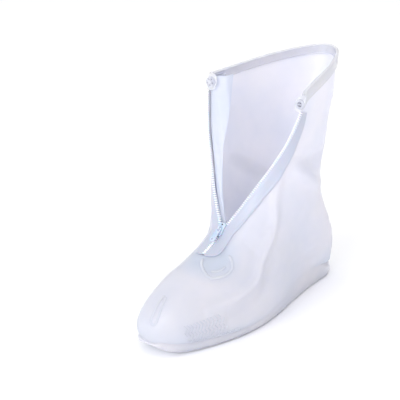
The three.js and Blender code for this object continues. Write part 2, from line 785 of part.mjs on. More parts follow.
// One half of the press snap, turned about its axis; the axis is +Y before it is placed
function makeSnap(name, side) {
  const points = snapOutlines[name].map(({ radius, height }) => (
    new THREE.Vector2((radius * snapDiameter) / 2, height * snapHeight)));
  const mesh = named(name, geometryOf(solidOf(new THREE.LatheGeometry(points, 14))), snapPlastic);
  const place = placeFrom(side, 1, -tabHeight / 2);
  const tangent = beyondTangent(side, place);
  const along = smoothPoint(side, 1, 0).sub(smoothPoint(side, zipTop[side], 0));
  const out = along.cross(tangent).multiplyScalar(sides[side]).normalize();
  const seat = wallPoint(side, place, 0, gap + hemThickness).addScaledVector(out, gap);
  mesh.quaternion.setFromUnitVectors(new THREE.Vector3(0, 1, 0), out);
  mesh.position.copy(seat.addScaledVector(tangent, tabReach - snapInset));
  return mesh;
}

const group = new THREE.Group();
group.add(makeShell(), makeOutsole(), makeTape('lateral'), makeTape('medial'));
group.add(makeTeeth('lateral'), makeTeeth('medial'), makeChain(), makeHem(), makeFlap());
group.add(makeSnap('snap_stud', 'medial'), makeSnap('snap_socket', 'lateral'));

const slider = new THREE.Group();
slider.applyMatrix4(sliderFrame());
slider.add(makeSlider());
const pull = makePull();
pull.position.z = axisHeight;
pull.rotation.x = THREE.MathUtils.degToRad(-pullTilt);
slider.add(pull);
group.add(slider);

export default group;
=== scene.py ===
import math
import bmesh
import bpy
import numpy as np
from mathutils import Matrix, Vector


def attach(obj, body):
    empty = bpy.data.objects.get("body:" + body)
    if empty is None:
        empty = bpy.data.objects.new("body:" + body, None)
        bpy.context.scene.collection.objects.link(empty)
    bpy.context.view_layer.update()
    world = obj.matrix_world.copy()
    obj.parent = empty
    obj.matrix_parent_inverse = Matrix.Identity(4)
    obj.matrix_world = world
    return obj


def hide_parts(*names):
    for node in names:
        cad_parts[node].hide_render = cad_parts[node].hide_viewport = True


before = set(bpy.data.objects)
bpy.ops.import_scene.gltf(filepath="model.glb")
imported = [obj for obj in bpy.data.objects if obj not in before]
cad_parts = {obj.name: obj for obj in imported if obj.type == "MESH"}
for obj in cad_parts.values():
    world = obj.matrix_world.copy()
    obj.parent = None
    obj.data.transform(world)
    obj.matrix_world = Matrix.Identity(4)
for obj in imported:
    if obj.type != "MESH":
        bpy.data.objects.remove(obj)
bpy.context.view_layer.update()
print("frame loaded")

# Shape of the upper, in metres: the same rows as the solids
upper = {
    "soleLength": 0.283, "shaftHeight": 0.263, "upperWidth": 0.096, "wall": 0.0014,
    "gap": 0.0004, "foldDepth": 0.004, "lateralSpread": 0.063, "medialSpread": 0.038,
    "throatShare": 0.366, "soleThickness": 0.0035, "zipMargin": 0.005, "zipTail": 0.034,
    "edgeMargin": 0.0024, "narrowFrom": 0.010, "narrowOver": 0.014,
    "slowWave": 0.0006, "quickWave": 0.00025,
    "ringCount": 210, "halfColumns": 88, "profileSteps": 150,
}
sectionColumns = [
    "bottomY", "bottomZ", "topY", "topZ", "lateral", "medial", "shift", "backShift", "belly",
    "topPower", "bottomPower",
]
sectionRows = [
    [-0.500, 0.080, -0.500, 0.084, 0.012, 0.012, -0.040, -0.040, 0.50, 2.0, 2.0],
    [-0.497, 0.046, -0.496, 0.115, 0.112, 0.115, -0.040, -0.040, 0.45, 2.0, 2.2],
    [-0.481, 0.026, -0.477, 0.148, 0.200, 0.195, -0.035, -0.035, 0.42, 2.0, 2.6],
    [-0.447, 0.013, -0.442, 0.188, 0.290, 0.265, -0.023, -0.023, 0.40, 2.0, 3.2],
    [-0.383, 0.005, -0.383, 0.226, 0.380, 0.335, -0.012, -0.012, 0.38, 2.0, 3.8],
    [-0.299, 0.001, -0.304, 0.261, 0.465, 0.390, 0.005, 0.005, 0.36, 2.0, 4.2],
    [-0.203, 0.000, -0.233, 0.290, 0.535, 0.410, 0.025, 0.020, 0.36, 2.0, 4.4],
    [-0.097, 0.000, -0.165, 0.328, 0.568, 0.400, 0.037, 0.025, 0.38, 2.0, 4.4],
    [0.019, 0.000, -0.116, 0.380, 0.545, 0.385, 0.046, 0.020, 0.40, 2.0, 4.0],
    [0.157, 0.000, -0.072, 0.447, 0.485, 0.375, 0.047, 0.000, 0.42, 2.1, 3.6],
    [0.316, 0.000, -0.034, 0.523, 0.440, 0.380, 0.047, -0.025, 0.45, 2.1, 3.4],
    [0.463, 0.001, -0.007, 0.589, 0.425, 0.380, 0.052, -0.030, 0.47, 2.1, 3.2],
    [0.498, 0.028, 0.009, 0.647, 0.415, 0.370, 0.058, -0.020, 0.49, 2.1, 2.9],
    [0.484, 0.146, 0.018, 0.700, 0.400, 0.368, 0.063, -0.005, 0.50, 2.1, 2.6],
    [0.430, 0.322, 0.025, 0.750, 0.385, 0.370, 0.068, 0.020, 0.50, 2.1, 2.4],
    [0.405, 0.498, 0.030, 0.798, 0.375, 0.373, 0.075, 0.055, 0.50, 2.1, 2.2],
    [0.420, 0.674, 0.034, 0.844, 0.350, 0.373, 0.084, 0.100, 0.50, 2.1, 2.1],
    [0.455, 0.850, 0.038, 0.888, 0.315, 0.373, 0.094, 0.145, 0.50, 2.1, 2.1],
    [0.485, 1.000, 0.043, 0.930, 0.270, 0.373, 0.105, 0.175, 0.50, 2.1, 2.0],
]
openings = {    # rise, across, along, up
    "lateral": [
        [0.00, 0.00, 0.00, 0.00], [0.11, 0.13, 0.00, 0.00], [0.23, 0.27, 0.00, 0.00],
        [0.41, 0.49, 0.00, 0.00], [0.63, 0.75, -0.02, -0.01], [0.90, 0.97, -0.05, -0.05],
        [1.00, 1.00, -0.06, -0.09],
    ],
    "medial": [
        [0.00, 0.00, 0.00, 0.00], [0.045, 0.10, -0.02, 0.00], [0.11, 0.24, -0.12, 0.00],
        [0.23, 0.43, -0.30, 0.00], [0.41, 0.64, -0.50, 0.00], [0.63, 0.83, -0.62, 0.00],
        [0.90, 0.96, -0.67, 0.10], [1.00, 0.96, -0.68, 0.20],
    ],
}
openingReach = {"lateral": 1.0, "medial": 0.8}
folds = [       # side, place, around, placeSize, aroundSize, depth
    ["lateral", 0.79, 0.62, 0.045, 0.34, -1.00], ["medial", 0.79, 0.70, 0.045, 0.28, -0.90],
    ["lateral", 0.70, 0.80, 0.040, 0.22, 0.50], ["lateral", 0.33, 0.36, 0.130, 0.13, -0.55],
    ["medial", 0.36, 0.45, 0.120, 0.16, -0.60], ["lateral", 0.50, 0.42, 0.060, 0.16, 0.45],
]
# Finer creases: side, height, width, and the line they follow as place and share round the half
creases = [
    ["lateral", 0.0050, 0.0058, [(0.660, 0.04), (0.603, 0.075), (0.561, 0.108), (0.523, 0.217),
                                 (0.459, 0.275), (0.421, 0.325), (0.383, 0.383), (0.345, 0.400),
                                 (0.289, 0.408), (0.230, 0.372)]],
    ["lateral", -0.0034, 0.0085, [(0.49, 0.36), (0.44, 0.43), (0.39, 0.50), (0.33, 0.53),
                                  (0.28, 0.53)]],
    ["lateral", -0.0058, 0.0090, [(0.715, 0.07), (0.745, 0.16), (0.780, 0.29), (0.815, 0.45),
                                  (0.835, 0.62)]],
    ["lateral", 0.0032, 0.0075, [(0.675, 0.10), (0.710, 0.22), (0.745, 0.36), (0.775, 0.52),
                                 (0.795, 0.66)]],
    ["lateral", 0.0010, 0.0022, [(0.545, 0.69), (0.557, 0.717), (0.591, 0.775), (0.625, 0.81),
                                 (0.66, 0.85)]],
    ["lateral", -0.0012, 0.0060, [(0.50, 0.50), (0.54, 0.56), (0.59, 0.60), (0.65, 0.66)]],
    ["medial", -0.0020, 0.0080, [(0.74, 0.20), (0.77, 0.40), (0.79, 0.60), (0.80, 0.78)]],
    ["medial", 0.0014, 0.0065, [(0.70, 0.22), (0.73, 0.40), (0.755, 0.58), (0.77, 0.74)]],
    ["medial", 0.0012, 0.0060, [(0.56, 0.18), (0.49, 0.30), (0.42, 0.38), (0.34, 0.40),
                                (0.26, 0.36)]],
    ["medial", 0.0010, 0.0022, [(0.545, 0.69), (0.591, 0.775), (0.66, 0.85)]],
]
sideSign = {"lateral": 1.0, "medial": -1.0}
otherSide = {"lateral": "medial", "medial": "lateral"}
soleLift = upper["soleThickness"] + upper["gap"]


def clamp(value):
    return min(max(value, 0.0), 1.0)


def rampUp(values, start, length):
    return np.clip((values - start) / length, 0, 1)


def peak(values, middle, width):
    return np.exp(-((values - middle) / width) ** 2)


def rowAt(place):
    table = np.array(sectionRows)
    last = len(table) - 1
    x = clamp(place) * last
    i = min(int(x), last - 1)
    f = x - i
    a, b, c, d = [table[min(max(i + k, 0), last)] for k in (-1, 0, 1, 2)]
    row = 0.5 * (2 * b + (c - a) * f + (2 * a - 5 * b + 4 * c - d) * f * f
                 + (3 * b - a - 3 * c + d) * f ** 3)
    found = dict(zip(sectionColumns, row))
    found["bottomZ"] = max(found["bottomZ"], 0.0)
    return found


def curveThrough(table, value, column):
    xs = [r[0] for r in table]
    ys = [r[column] for r in table]
    last = len(xs) - 1
    x = min(max(value, xs[0]), xs[-1])
    i = 0
    while i < last - 1 and x > xs[i + 1]:
        i += 1

    def slope(k):
        a, b = max(k - 1, 0), min(k + 1, last)
        return (ys[b] - ys[a]) / (xs[b] - xs[a])
    width = xs[i + 1] - xs[i]
    f = (x - xs[i]) / width
    return (ys[i] * (1 + 2 * f) * (1 - f) ** 2 + ys[i + 1] * f * f * (3 - 2 * f)
            + width * (slope(i) * f * (1 - f) ** 2 - slope(i + 1) * f * f * (1 - f)))


def heightOf(share):
    return soleLift + share * (upper["shaftHeight"] - soleLift)


def riseOf(topZ):
    top = sectionRows[-1][3]
    return clamp((topZ - upper["throatShare"]) / (top - upper["throatShare"]))


def openingAt(side, topZ):
    moves = [curveThrough(openings[side], riseOf(topZ), column) for column in (1, 2, 3)]
    return np.array([sideSign[side] * moves[0], moves[1], moves[2]]) * upper[side + "Spread"]


def closedHalf(row, side):
    top = np.array([0, row["topY"] * upper["soleLength"], heightOf(row["topZ"])])
    bottom = np.array([0, row["bottomY"] * upper["soleLength"], heightOf(row["bottomZ"])])
    angle = np.linspace(0, math.pi, upper["profileSteps"] + 1)
    power = np.where(angle < math.pi / 2, row["topPower"], row["bottomPower"])
    out = np.abs(np.sin(angle)) ** (2 / power)
    high = np.abs(np.cos(angle)) ** (2 / power)
    belly = row["belly"]
    level = np.where(angle < math.pi / 2, belly + high * (1 - belly), belly * (1 - high))
    points = bottom + level[:, None] * (top - bottom)
    middle = row["backShift"] + level * (row["shift"] - row["backShift"])
    points[:, 0] = (sideSign[side] * out * row[side] + middle) * upper["upperWidth"]
    return points


def openHalf(row, side):
    steps = np.linspace(0, 1, upper["profileSteps"] + 1) / openingReach[side]
    bend = (1 - np.clip(steps, 0, 1)) ** 2
    return closedHalf(row, side) + openingAt(side, row["topZ"]) * bend[:, None]


def runOf(points):
    return np.concatenate([[0], np.cumsum(np.linalg.norm(np.diff(points, axis=0), axis=1))])


def pointsOn(line, lineRun, distances):
    return np.stack([np.interp(distances, lineRun, line[:, k]) for k in range(3)], -1)


profiles = {}


def profileAt(side, place):
    key = (side, round(place, 6))
    if key not in profiles:
        row = rowAt(place)
        own, opposite = openHalf(row, side), openHalf(row, otherSide[side])
        beyond = closedHalf(row, otherSide[side]) + openingAt(side, row["topZ"])
        profiles[key] = {
            "own": own, "ownRun": runOf(own), "opposite": opposite, "oppositeRun": runOf(opposite),
            "beyond": beyond, "beyondRun": runOf(beyond),
        }
    return profiles[key]


def girth(side, place):
    return profileAt(side, place)["ownRun"][-1]


# Points of the smooth wall at distances from the front edge; below 0 they lie past the edge
def pointsAt(side, place, distances):
    profile = profileAt(side, place)
    d = np.atleast_1d(np.asarray(distances, float))
    full = profile["ownRun"][-1]
    points = pointsOn(profile["own"], profile["ownRun"], np.clip(d, 0, full))
    before, past = d < 0, d > full
    if before.any():
        points[before] = pointsOn(profile["beyond"], profile["beyondRun"], -d[before])
    if past.any():
        left = profile["oppositeRun"][-1] - (d[past] - full)
        points[past] = pointsOn(profile["opposite"], profile["oppositeRun"], left)
    return points


def unit(vectors):
    return vectors / np.maximum(np.linalg.norm(vectors, axis=-1, keepdims=True), 1e-12)


def normalsAt(side, place, distances):
    d = np.atleast_1d(np.asarray(distances, float))
    low, high = max(place - 0.006, 0), min(place + 0.006, 1)
    share = d / girth(side, place)

    def roundAt(p):
        return np.where(d < 0, d, share * girth(side, p))
    along = pointsAt(side, high, roundAt(high)) - pointsAt(side, low, roundAt(low))
    around = pointsAt(side, place, d + 0.0015) - pointsAt(side, place, d - 0.0015)
    return unit(np.cross(along, around) * -sideSign[side])


def creaseLine(side, path):
    t = np.linspace(0, 1, 90)
    knots = np.linspace(0, 1, len(path))
    pairs = np.stack([np.interp(t, knots, [p[k] for p in path]) for k in (0, 1)], -1)
    kernel = np.ones(11) / 11
    padded = np.pad(pairs, ((5, 5), (0, 0)), mode="edge")
    smooth = np.stack([np.convolve(padded[:, k], kernel, "valid") for k in (0, 1)], -1)
    points = [pointsAt(side, p, [s * girth(side, p)])[0] for p, s in smooth]
    return np.array(points), np.sin(t * math.pi) ** 0.6


creaseLines = [(height, width, *creaseLine(side, path)) for side, height, width, path in creases]


def reliefAt(side, place, distances, points):
    share = np.asarray(distances, float) / girth(side, place)
    total = np.zeros(len(points))
    for foldSide, foldPlace, around, placeSize, aroundSize, depth in folds:
        a = (place - foldPlace) / placeSize
        b = (np.where(foldSide == side, share, 2 - share) - around) / aroundSize
        shown = np.where((foldSide == side) | (share >= 0), 1.0, 0.0)
        total += shown * depth * upper["foldDepth"] * np.exp(-a * a - b * b)
    for height, width, line, weight in creaseLines:
        apart = np.linalg.norm(points[:, None, :] - line[None, :, :], axis=-1)
        nearest = np.argmin(apart, axis=1)
        near = apart[np.arange(len(points)), nearest]
        total += height * weight[nearest] * np.exp(-(near / width) ** 2)
    x, y, z = points.T
    calm = rampUp(np.asarray(distances, float), 0.010, 0.02)
    calm *= rampUp(z, 0.006, 0.02) * rampUp(z, 0.245, -0.02)
    slow = np.sin(71 * y + 40 * z + 1.3) * np.sin(83 * z - 30 * x + 0.4)
    quick = np.sin(160 * y - 90 * z + 2.1) * np.sin(137 * z + 75 * x + 1.9)
    return total + calm * (upper["slowWave"] * slow + upper["quickWave"] * quick)


def wallPoints(side, place, distances, lift):
    d = np.atleast_1d(np.asarray(distances, float))
    base = pointsAt(side, place, d)
    height = np.broadcast_to(lift, d.shape) + reliefAt(side, place, d, base)
    return base + normalsAt(side, place, d) * height[:, None]


def beyondTangent(side, place):
    past, edge = pointsAt(side, place, [-0.001, 0.0])
    return unit(past - edge)


# Places along the two front edges, by the run from the toe end
edgeTables = {}
for side in sideSign:
    tablePlaces = np.linspace(0, 1, 801)
    edge = np.array([pointsAt(side, p, [0.0])[0] for p in tablePlaces])
    edgeTables[side] = (tablePlaces, runOf(edge))


def edgeRun(side, place):
    return float(np.interp(place, *edgeTables[side]))


def placeFrom(side, start, run):
    tablePlaces, tableRun = edgeTables[side]
    return float(np.interp(edgeRun(side, start) + run, tableRun, tablePlaces))


def placeWhere(column, share, low, high):
    for _ in range(40):
        middle = (low + high) / 2
        if rowAt(middle)[column] < share:
            low = middle
        else:
            high = middle
    return (low + high) / 2


throatPlace = placeWhere("topZ", upper["throatShare"], 0, 1)
tailPlace = placeFrom("lateral", throatPlace, -upper["zipTail"])


# Materials: PVC films, moulded plastics and a dark steel for the small wires and the slider's
# rivet, whose darkness is partly painted shade and painted dark reflections
def addNode(material, kind, values={}, **settings):
    node = material.node_tree.nodes.new(kind)
    for key, value in settings.items():
        setattr(node, key, value)
    for key, value in values.items():
        node.inputs[key].default_value = value
    return node


def newMaterial(name, fixed):
    material = bpy.data.materials.new(name)
    material.use_nodes = True
    shader = material.node_tree.nodes["Principled BSDF"]
    for socket, value in fixed.items():
        shader.inputs[socket].default_value = value
    return material, shader, material.node_tree.links


def colourRamp(material, value, look, low=0.0, high=1.0):
    ramp = addNode(material, "ShaderNodeValToRGB")
    for element, position, colour in zip(ramp.color_ramp.elements, (low, high), ("deep", "pale")):
        element.position = position
        element.color = (*look[colour], 1)
    material.node_tree.links.new(value, ramp.inputs["Fac"])
    return ramp.outputs["Color"]


def plasticMaterial(name, look):
    material, shader, links = newMaterial(name, look["shader"])
    position = addNode(material, "ShaderNodeTexCoord").outputs["Object"]

    def noise(scale, detail):
        made = addNode(material, "ShaderNodeTexNoise", {"Scale": look[scale], "Detail": detail})
        links.new(position, made.inputs["Vector"])
        return made.outputs["Fac"]
    colour = colourRamp(material, noise("cloudScale", 3.0), look, 0.32, 0.68)
    if "tint" in look:      # the painted attribute marks where the film is darker and bluer: where the tongue backs it, round the heel and low down
        painted = addNode(material, "ShaderNodeAttribute", attribute_name="tint")
        mix = addNode(material, "ShaderNodeMix", data_type="RGBA")
        first, second = [socket for socket in mix.inputs if socket.type == "RGBA"]
        second.default_value = (*look["tint"], 1)
        links.new(painted.outputs["Fac"], mix.inputs["Factor"])
        links.new(colour, first)
        colour = [socket for socket in mix.outputs if socket.type == "RGBA"][0]
    links.new(colour, shader.inputs["Base Color"])
    gloss = addNode(material, "ShaderNodeMapRange", {
        "To Min": look["roughness"][0], "To Max": look["roughness"][1]})
    links.new(noise("smudgeScale", 4.0), gloss.inputs["Value"])
    links.new(gloss.outputs["Result"], shader.inputs["Roughness"])
    heights = {"wave": noise("waveScale", 2.0), "grain": noise("grainScale", 2.0)}
    bumps = {}
    for kind, distance in (("wave", 0.004), ("grain", 0.0004)):
        bumps[kind] = addNode(material, "ShaderNodeBump", {
            "Strength": look[kind + "Strength"], "Distance": distance})
        links.new(heights[kind], bumps[kind].inputs["Height"])
    links.new(bumps["wave"].outputs["Normal"], bumps["grain"].inputs["Normal"])
    links.new(bumps["grain"].outputs["Normal"], shader.inputs["Normal"])
    return material


filmLook = {
    "deep": (0.74, 0.77, 0.94), "pale": (0.87, 0.85, 0.97), "tint": (0.62, 0.73, 0.97),
    "cloudScale": 14.0, "smudgeScale": 22.0, "roughness": (0.27, 0.42),
    "waveScale": 42.0, "waveStrength": 0.14, "grainScale": 1400.0, "grainStrength": 0.10,
    "shader": {"Alpha": 0.70, "Subsurface Weight": 0.60, "Subsurface Radius": (1.0, 1.0, 1.2),
               "Subsurface Scale": 0.010, "IOR": 1.52, "Coat Weight": 0.12,
               "Coat Roughness": 0.28},
}
upperFilm = plasticMaterial("milkyPvcFilm", filmLook)
hemFilm = plasticMaterial("weldedHemPvc", {
    **filmLook, "deep": (0.84, 0.87, 0.97), "pale": (0.95, 0.94, 0.99), "cloudScale": 30.0,
    "waveScale": 70.0, "waveStrength": 0.20,
    "shader": {**filmLook["shader"], "Alpha": 0.50, "Subsurface Weight": 0.70}})
stripFilm = plasticMaterial("hemStripPvc", {
    **filmLook, "deep": (0.86, 0.89, 0.99), "pale": (0.96, 0.96, 1.00), "cloudScale": 34.0,
    "waveScale": 80.0, "waveStrength": 0.20,
    "shader": {**filmLook["shader"], "Alpha": 0.28, "Subsurface Weight": 0.70}})
flapFilm = plasticMaterial("stormFlapPvc", {
    **filmLook, "deep": (0.64, 0.72, 0.94), "pale": (0.78, 0.82, 0.98), "cloudScale": 20.0,
    "waveScale": 50.0, "waveStrength": 0.30})
beadPvc = plasticMaterial("weldBeadPvc", {
    **filmLook, "deep": (0.76, 0.80, 0.97), "pale": (0.86, 0.88, 1.00), "roughness": (0.18, 0.28),
    "cloudScale": 60.0, "waveScale": 220.0, "waveStrength": 0.12})
solePvc = plasticMaterial("mouldedSolePvc", {
    **filmLook, "deep": (0.70, 0.73, 0.86), "pale": (0.82, 0.84, 0.93), "roughness": (0.38, 0.55),
    "grainScale": 2200.0, "grainStrength": 0.25,
    "shader": {**filmLook["shader"], "Alpha": 0.92, "Coat Weight": 0.0}})
toothPlastic = plasticMaterial("zipToothPlastic", {
    "deep": (0.80, 0.83, 0.93), "pale": (0.93, 0.94, 0.98), "cloudScale": 300.0,
    "smudgeScale": 500.0, "roughness": (0.22, 0.36), "waveScale": 900.0, "waveStrength": 0.05,
    "grainScale": 4000.0, "grainStrength": 0.08,
    "shader": {"Subsurface Weight": 0.3, "Subsurface Scale": 0.002, "IOR": 1.50}})
sliderPlastic = plasticMaterial("zipSliderPlastic", {
    "deep": (0.44, 0.54, 0.70), "pale": (0.60, 0.68, 0.80), "cloudScale": 120.0,
    "smudgeScale": 240.0, "roughness": (0.10, 0.22), "waveScale": 260.0, "waveStrength": 0.10,
    "grainScale": 3000.0, "grainStrength": 0.06,
    "shader": {"Subsurface Weight": 0.25, "Subsurface Scale": 0.002, "IOR": 1.50,
               "Coat Weight": 0.6, "Coat Roughness": 0.08}})
snapPlastic = plasticMaterial("snapClearPlastic", {
    "deep": (0.52, 0.54, 0.64), "pale": (0.68, 0.69, 0.77), "cloudScale": 180.0,
    "smudgeScale": 260.0, "roughness": (0.05, 0.14), "waveScale": 300.0, "waveStrength": 0.10,
    "grainScale": 3000.0, "grainStrength": 0.05,
    "shader": {"Alpha": 0.72, "IOR": 1.49, "Coat Weight": 0.8, "Coat Roughness": 0.05}})
# Dark steel: its darkened base colour paints the shade in the slider's gap and the dark glints in
# the clear snap (painted shade, painted reflections)
shadeAndGlintSteel = plasticMaterial("steelPaintedShadeAndGlints", {
    "deep": (0.10, 0.10, 0.12), "pale": (0.22, 0.22, 0.25), "cloudScale": 400.0,
    "smudgeScale": 600.0, "roughness": (0.18, 0.34), "waveScale": 900.0, "waveStrength": 0.10,
    "grainScale": 5000.0, "grainStrength": 0.10,
    "shader": {"Metallic": 1.0}})


# Tape: a close plain weave under a film of PVC, laid out along the tape's own map
def tapeMaterial():
    look = {
        "deep": (0.47, 0.50, 0.62), "pale": (0.60, 0.62, 0.73), "threads": 0.00055,
        "roughness": (0.34, 0.52),
        "shader": {"Alpha": 0.92, "Subsurface Weight": 0.3, "Subsurface Scale": 0.003,
                   "Sheen Weight": 0.3, "Sheen Roughness": 0.5, "Coat Weight": 0.3,
                   "Coat Roughness": 0.25},
    }
    material, shader, links = newMaterial("wovenZipTape", look["shader"])
    layout = addNode(material, "ShaderNodeUVMap", uv_map="UVMap")
    weave = addNode(material, "ShaderNodeMath", operation="MULTIPLY")
    for i, direction in enumerate("XY"):
        thread = addNode(material, "ShaderNodeTexWave", {
            "Scale": 0.157 / look["threads"], "Distortion": 0.4, "Detail": 1.0},
            wave_type="BANDS", bands_direction=direction)
        links.new(layout.outputs["UV"], thread.inputs["Vector"])
        links.new(thread.outputs["Fac"], weave.inputs[i])
    woven = weave.outputs["Value"]
    links.new(colourRamp(material, woven, look), shader.inputs["Base Color"])
    gloss = addNode(material, "ShaderNodeMapRange", {
        "To Min": look["roughness"][0], "To Max": look["roughness"][1]})
    links.new(woven, gloss.inputs["Value"])
    links.new(gloss.outputs["Result"], shader.inputs["Roughness"])
    bump = addNode(material, "ShaderNodeBump", {"Strength": 0.35, "Distance": 0.0002})
    links.new(woven, bump.inputs["Height"])
    links.new(bump.outputs["Normal"], shader.inputs["Normal"])
    return material


wovenTape = tapeMaterial()
print("materials made")


# Mesh helpers
def addObject(name, data):
    made = bpy.data.objects.new(name, data)
    bpy.context.scene.collection.objects.link(made)
    return made


def shadeSmooth(mesh, sharp=None):
    for polygon in mesh.polygons:
        polygon.use_smooth = True
    if sharp:
        mesh.set_sharp_from_angle(angle=math.radians(sharp))


def meshObject(name, vertices, faces, material, sharp=40, merge=0.0):
    vertices = np.asarray(vertices, float)
    mesh = bpy.data.meshes.new(name)
    mesh.from_pydata([tuple(v) for v in vertices], [], [tuple(int(i) for i in f) for f in faces])
    mesh.validate()
    shape = bmesh.new()
    shape.from_mesh(mesh)
    if merge:
        bmesh.ops.remove_doubles(shape, verts=shape.verts, dist=merge)
    if shape.calc_volume(signed=True) < 0:
        bmesh.ops.reverse_faces(shape, faces=shape.faces)
    shape.to_mesh(mesh)
    shape.free()
    mesh.materials.append(material)
    shadeSmooth(mesh, sharp)
    return addObject(name, mesh)


# Quads over an outer and an inner grid of points: vertices, index of the outer grid, faces
def gridPair(outer, inner):
    vertices = np.concatenate([outer.reshape(-1, 3), inner.reshape(-1, 3)])
    index = np.arange(len(vertices) // 2).reshape(outer.shape[:2])
    a, b, c, d = index[:-1, :-1], index[:-1, 1:], index[1:, 1:], index[1:, :-1]
    outerFaces = np.stack([a, b, c, d], -1).reshape(-1, 4)
    innerFaces = np.stack([a, d, c, b], -1).reshape(-1, 4) + index.size
    return vertices, index, np.concatenate([outerFaces, innerFaces])


# The same with all borders joined
def sheetParts(outer, inner):
    vertices, index, faces = gridPair(outer, inner)
    count = index.size
    border = np.concatenate([
        index[0, ::-1], index[1:, 0], index[-1, 1:], index[::-1, -1][1:]])
    following = np.roll(border, -1)[:-1]
    ring = border[:-1]
    side = np.stack([ring, ring + count, following + count, following], -1)
    return vertices, np.concatenate([faces, side])


def sheetObject(name, outer, inner, material, layout=None, sharp=40):
    vertices, faces = sheetParts(outer, inner)
    made = meshObject(name, vertices, faces, material, sharp)
    if layout is not None:
        flat = np.concatenate([layout.reshape(-1, 2)] * 2)
        uvMap = made.data.uv_layers.new(name="UVMap")
        corners = np.zeros(len(made.data.loops), dtype=int)
        made.data.loops.foreach_get("vertex_index", corners)
        uvMap.data.foreach_set("uv", flat[corners].ravel())
    return made


# A bead that lies on a surface along a line: half sunk, with rounded ends
def beadObject(name, line, normals, material, width, height, sink=0.4, closed=False, turns=12):
    line, normals = np.asarray(line, float), unit(np.asarray(normals, float))
    if closed:
        tangents = unit(np.roll(line, -1, axis=0) - np.roll(line, 1, axis=0))
        taper = np.ones(len(line))
    else:
        tangents = unit(np.gradient(line, axis=0))
        along = runOf(line)
        ends = np.minimum(along, along[-1] - along) / (width * 0.5)
        taper = np.sqrt(np.clip(1 - (1 - np.clip(ends, 0.02, 1)) ** 2, 0, 1))
    across = unit(np.cross(tangents, normals))
    angle = np.linspace(0, 2 * math.pi, turns, endpoint=False)
    ring = []
    for a in angle:
        side = across * (math.cos(a) * width / 2 * taper)[:, None]
        up = normals * ((math.sin(a) * 0.5 * height + 0.5 * height - sink * height)
                        * taper)[:, None]
        ring.append(line + side + up)
    ring = np.stack(ring, 1)
    rows = len(line)
    index = np.arange(rows * turns).reshape(rows, turns)
    if closed:
        index = np.concatenate([index, index[:1]])
    a, b = index[:-1], index[1:]
    faces = np.stack([a, np.roll(a, -1, 1), np.roll(b, -1, 1), b], -1).reshape(-1, 4).tolist()
    if not closed:
        faces.append(list(index[0][::-1]))
        faces.append(list(index[-1]))
    return meshObject(name, ring.reshape(-1, 3), faces, material, 60)


def ride(piece, *nodes, body="cover"):
    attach(piece, body)
    if nodes:
        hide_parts(*nodes)
    return piece


# Repeats: one stamp on the points of a rail, turned to its own along and outward directions
def repeatTree():
    tree = bpy.data.node_groups.new("repeatStamp", "GeometryNodeTree")
    sockets = tree.interface
    sockets.new_socket("Geometry", in_out="INPUT", socket_type="NodeSocketGeometry")
    for label, kind in [("Stamp", "NodeSocketObject"), ("Spacing", "NodeSocketFloat"),
                        ("Size", "NodeSocketFloat"), ("Size Variation", "NodeSocketFloat"),
                        ("Seed", "NodeSocketInt"), ("Finish", "NodeSocketMaterial"),
                        ("Along A Line", "NodeSocketBool")]:
        sockets.new_socket(label, in_out="INPUT", socket_type=kind)
    sockets.new_socket("Geometry", in_out="OUTPUT", socket_type="NodeSocketGeometry")
    node, link = tree.nodes.new, tree.links.new
    start, end = node("NodeGroupInput"), node("NodeGroupOutput")
    toCurve = node("GeometryNodeMeshToCurve")
    spaced = node("GeometryNodeResampleCurve")
    spaced.mode = "LENGTH"
    toPoints = node("GeometryNodeCurveToPoints")
    toPoints.mode = "EVALUATED"
    switch = node("GeometryNodeSwitch")
    switch.input_type = "GEOMETRY"
    along, outward = [node("GeometryNodeInputNamedAttribute") for _ in range(2)]
    for reader, label in ((along, "along"), (outward, "outward")):
        reader.data_type = "FLOAT_VECTOR"
        reader.inputs["Name"].default_value = label
    turn = node("FunctionNodeAxesToRotation")
    turn.primary_axis, turn.secondary_axis = "Z", "Y"
    vary = node("FunctionNodeRandomValue")
    vary.data_type = "FLOAT"
    less, more = node("ShaderNodeMath"), node("ShaderNodeMath")
    less.operation, more.operation = "SUBTRACT", "ADD"
    for step in (less, more):
        link(start.outputs["Size"], step.inputs[0])
        link(start.outputs["Size Variation"], step.inputs[1])
    floats = [s for s in vary.inputs if s.type == "VALUE"]
    link(less.outputs[0], floats[0])
    link(more.outputs[0], floats[1])
    stampInfo, place = node("GeometryNodeObjectInfo"), node("GeometryNodeInstanceOnPoints")
    real, finish = node("GeometryNodeRealizeInstances"), node("GeometryNodeSetMaterial")
    link([s for s in vary.outputs if s.type == "VALUE"][0], place.inputs["Scale"])
    for source, output, target, socket in [
            (start, "Geometry", toCurve, "Mesh"), (toCurve, "Curve", spaced, "Curve"),
            (start, "Spacing", spaced, "Length"), (spaced, "Curve", toPoints, "Curve"),
            (start, "Along A Line", switch, "Switch"), (start, "Geometry", switch, "False"),
            (toPoints, "Points", switch, "True"), (outward, "Attribute", turn, "Primary Axis"),
            (along, "Attribute", turn, "Secondary Axis"), (start, "Seed", vary, "Seed"),
            (start, "Stamp", stampInfo, "Object"), (switch, "Output", place, "Points"),
            (stampInfo, "Geometry", place, "Instance"), (turn, "Rotation", place, "Rotation"),
            (place, "Instances", real, "Geometry"), (real, "Geometry", finish, "Geometry"),
            (start, "Finish", finish, "Material"), (finish, "Geometry", end, "Geometry")]:
        link(source.outputs[output], target.inputs[socket])
    return tree


stampTree = repeatTree()


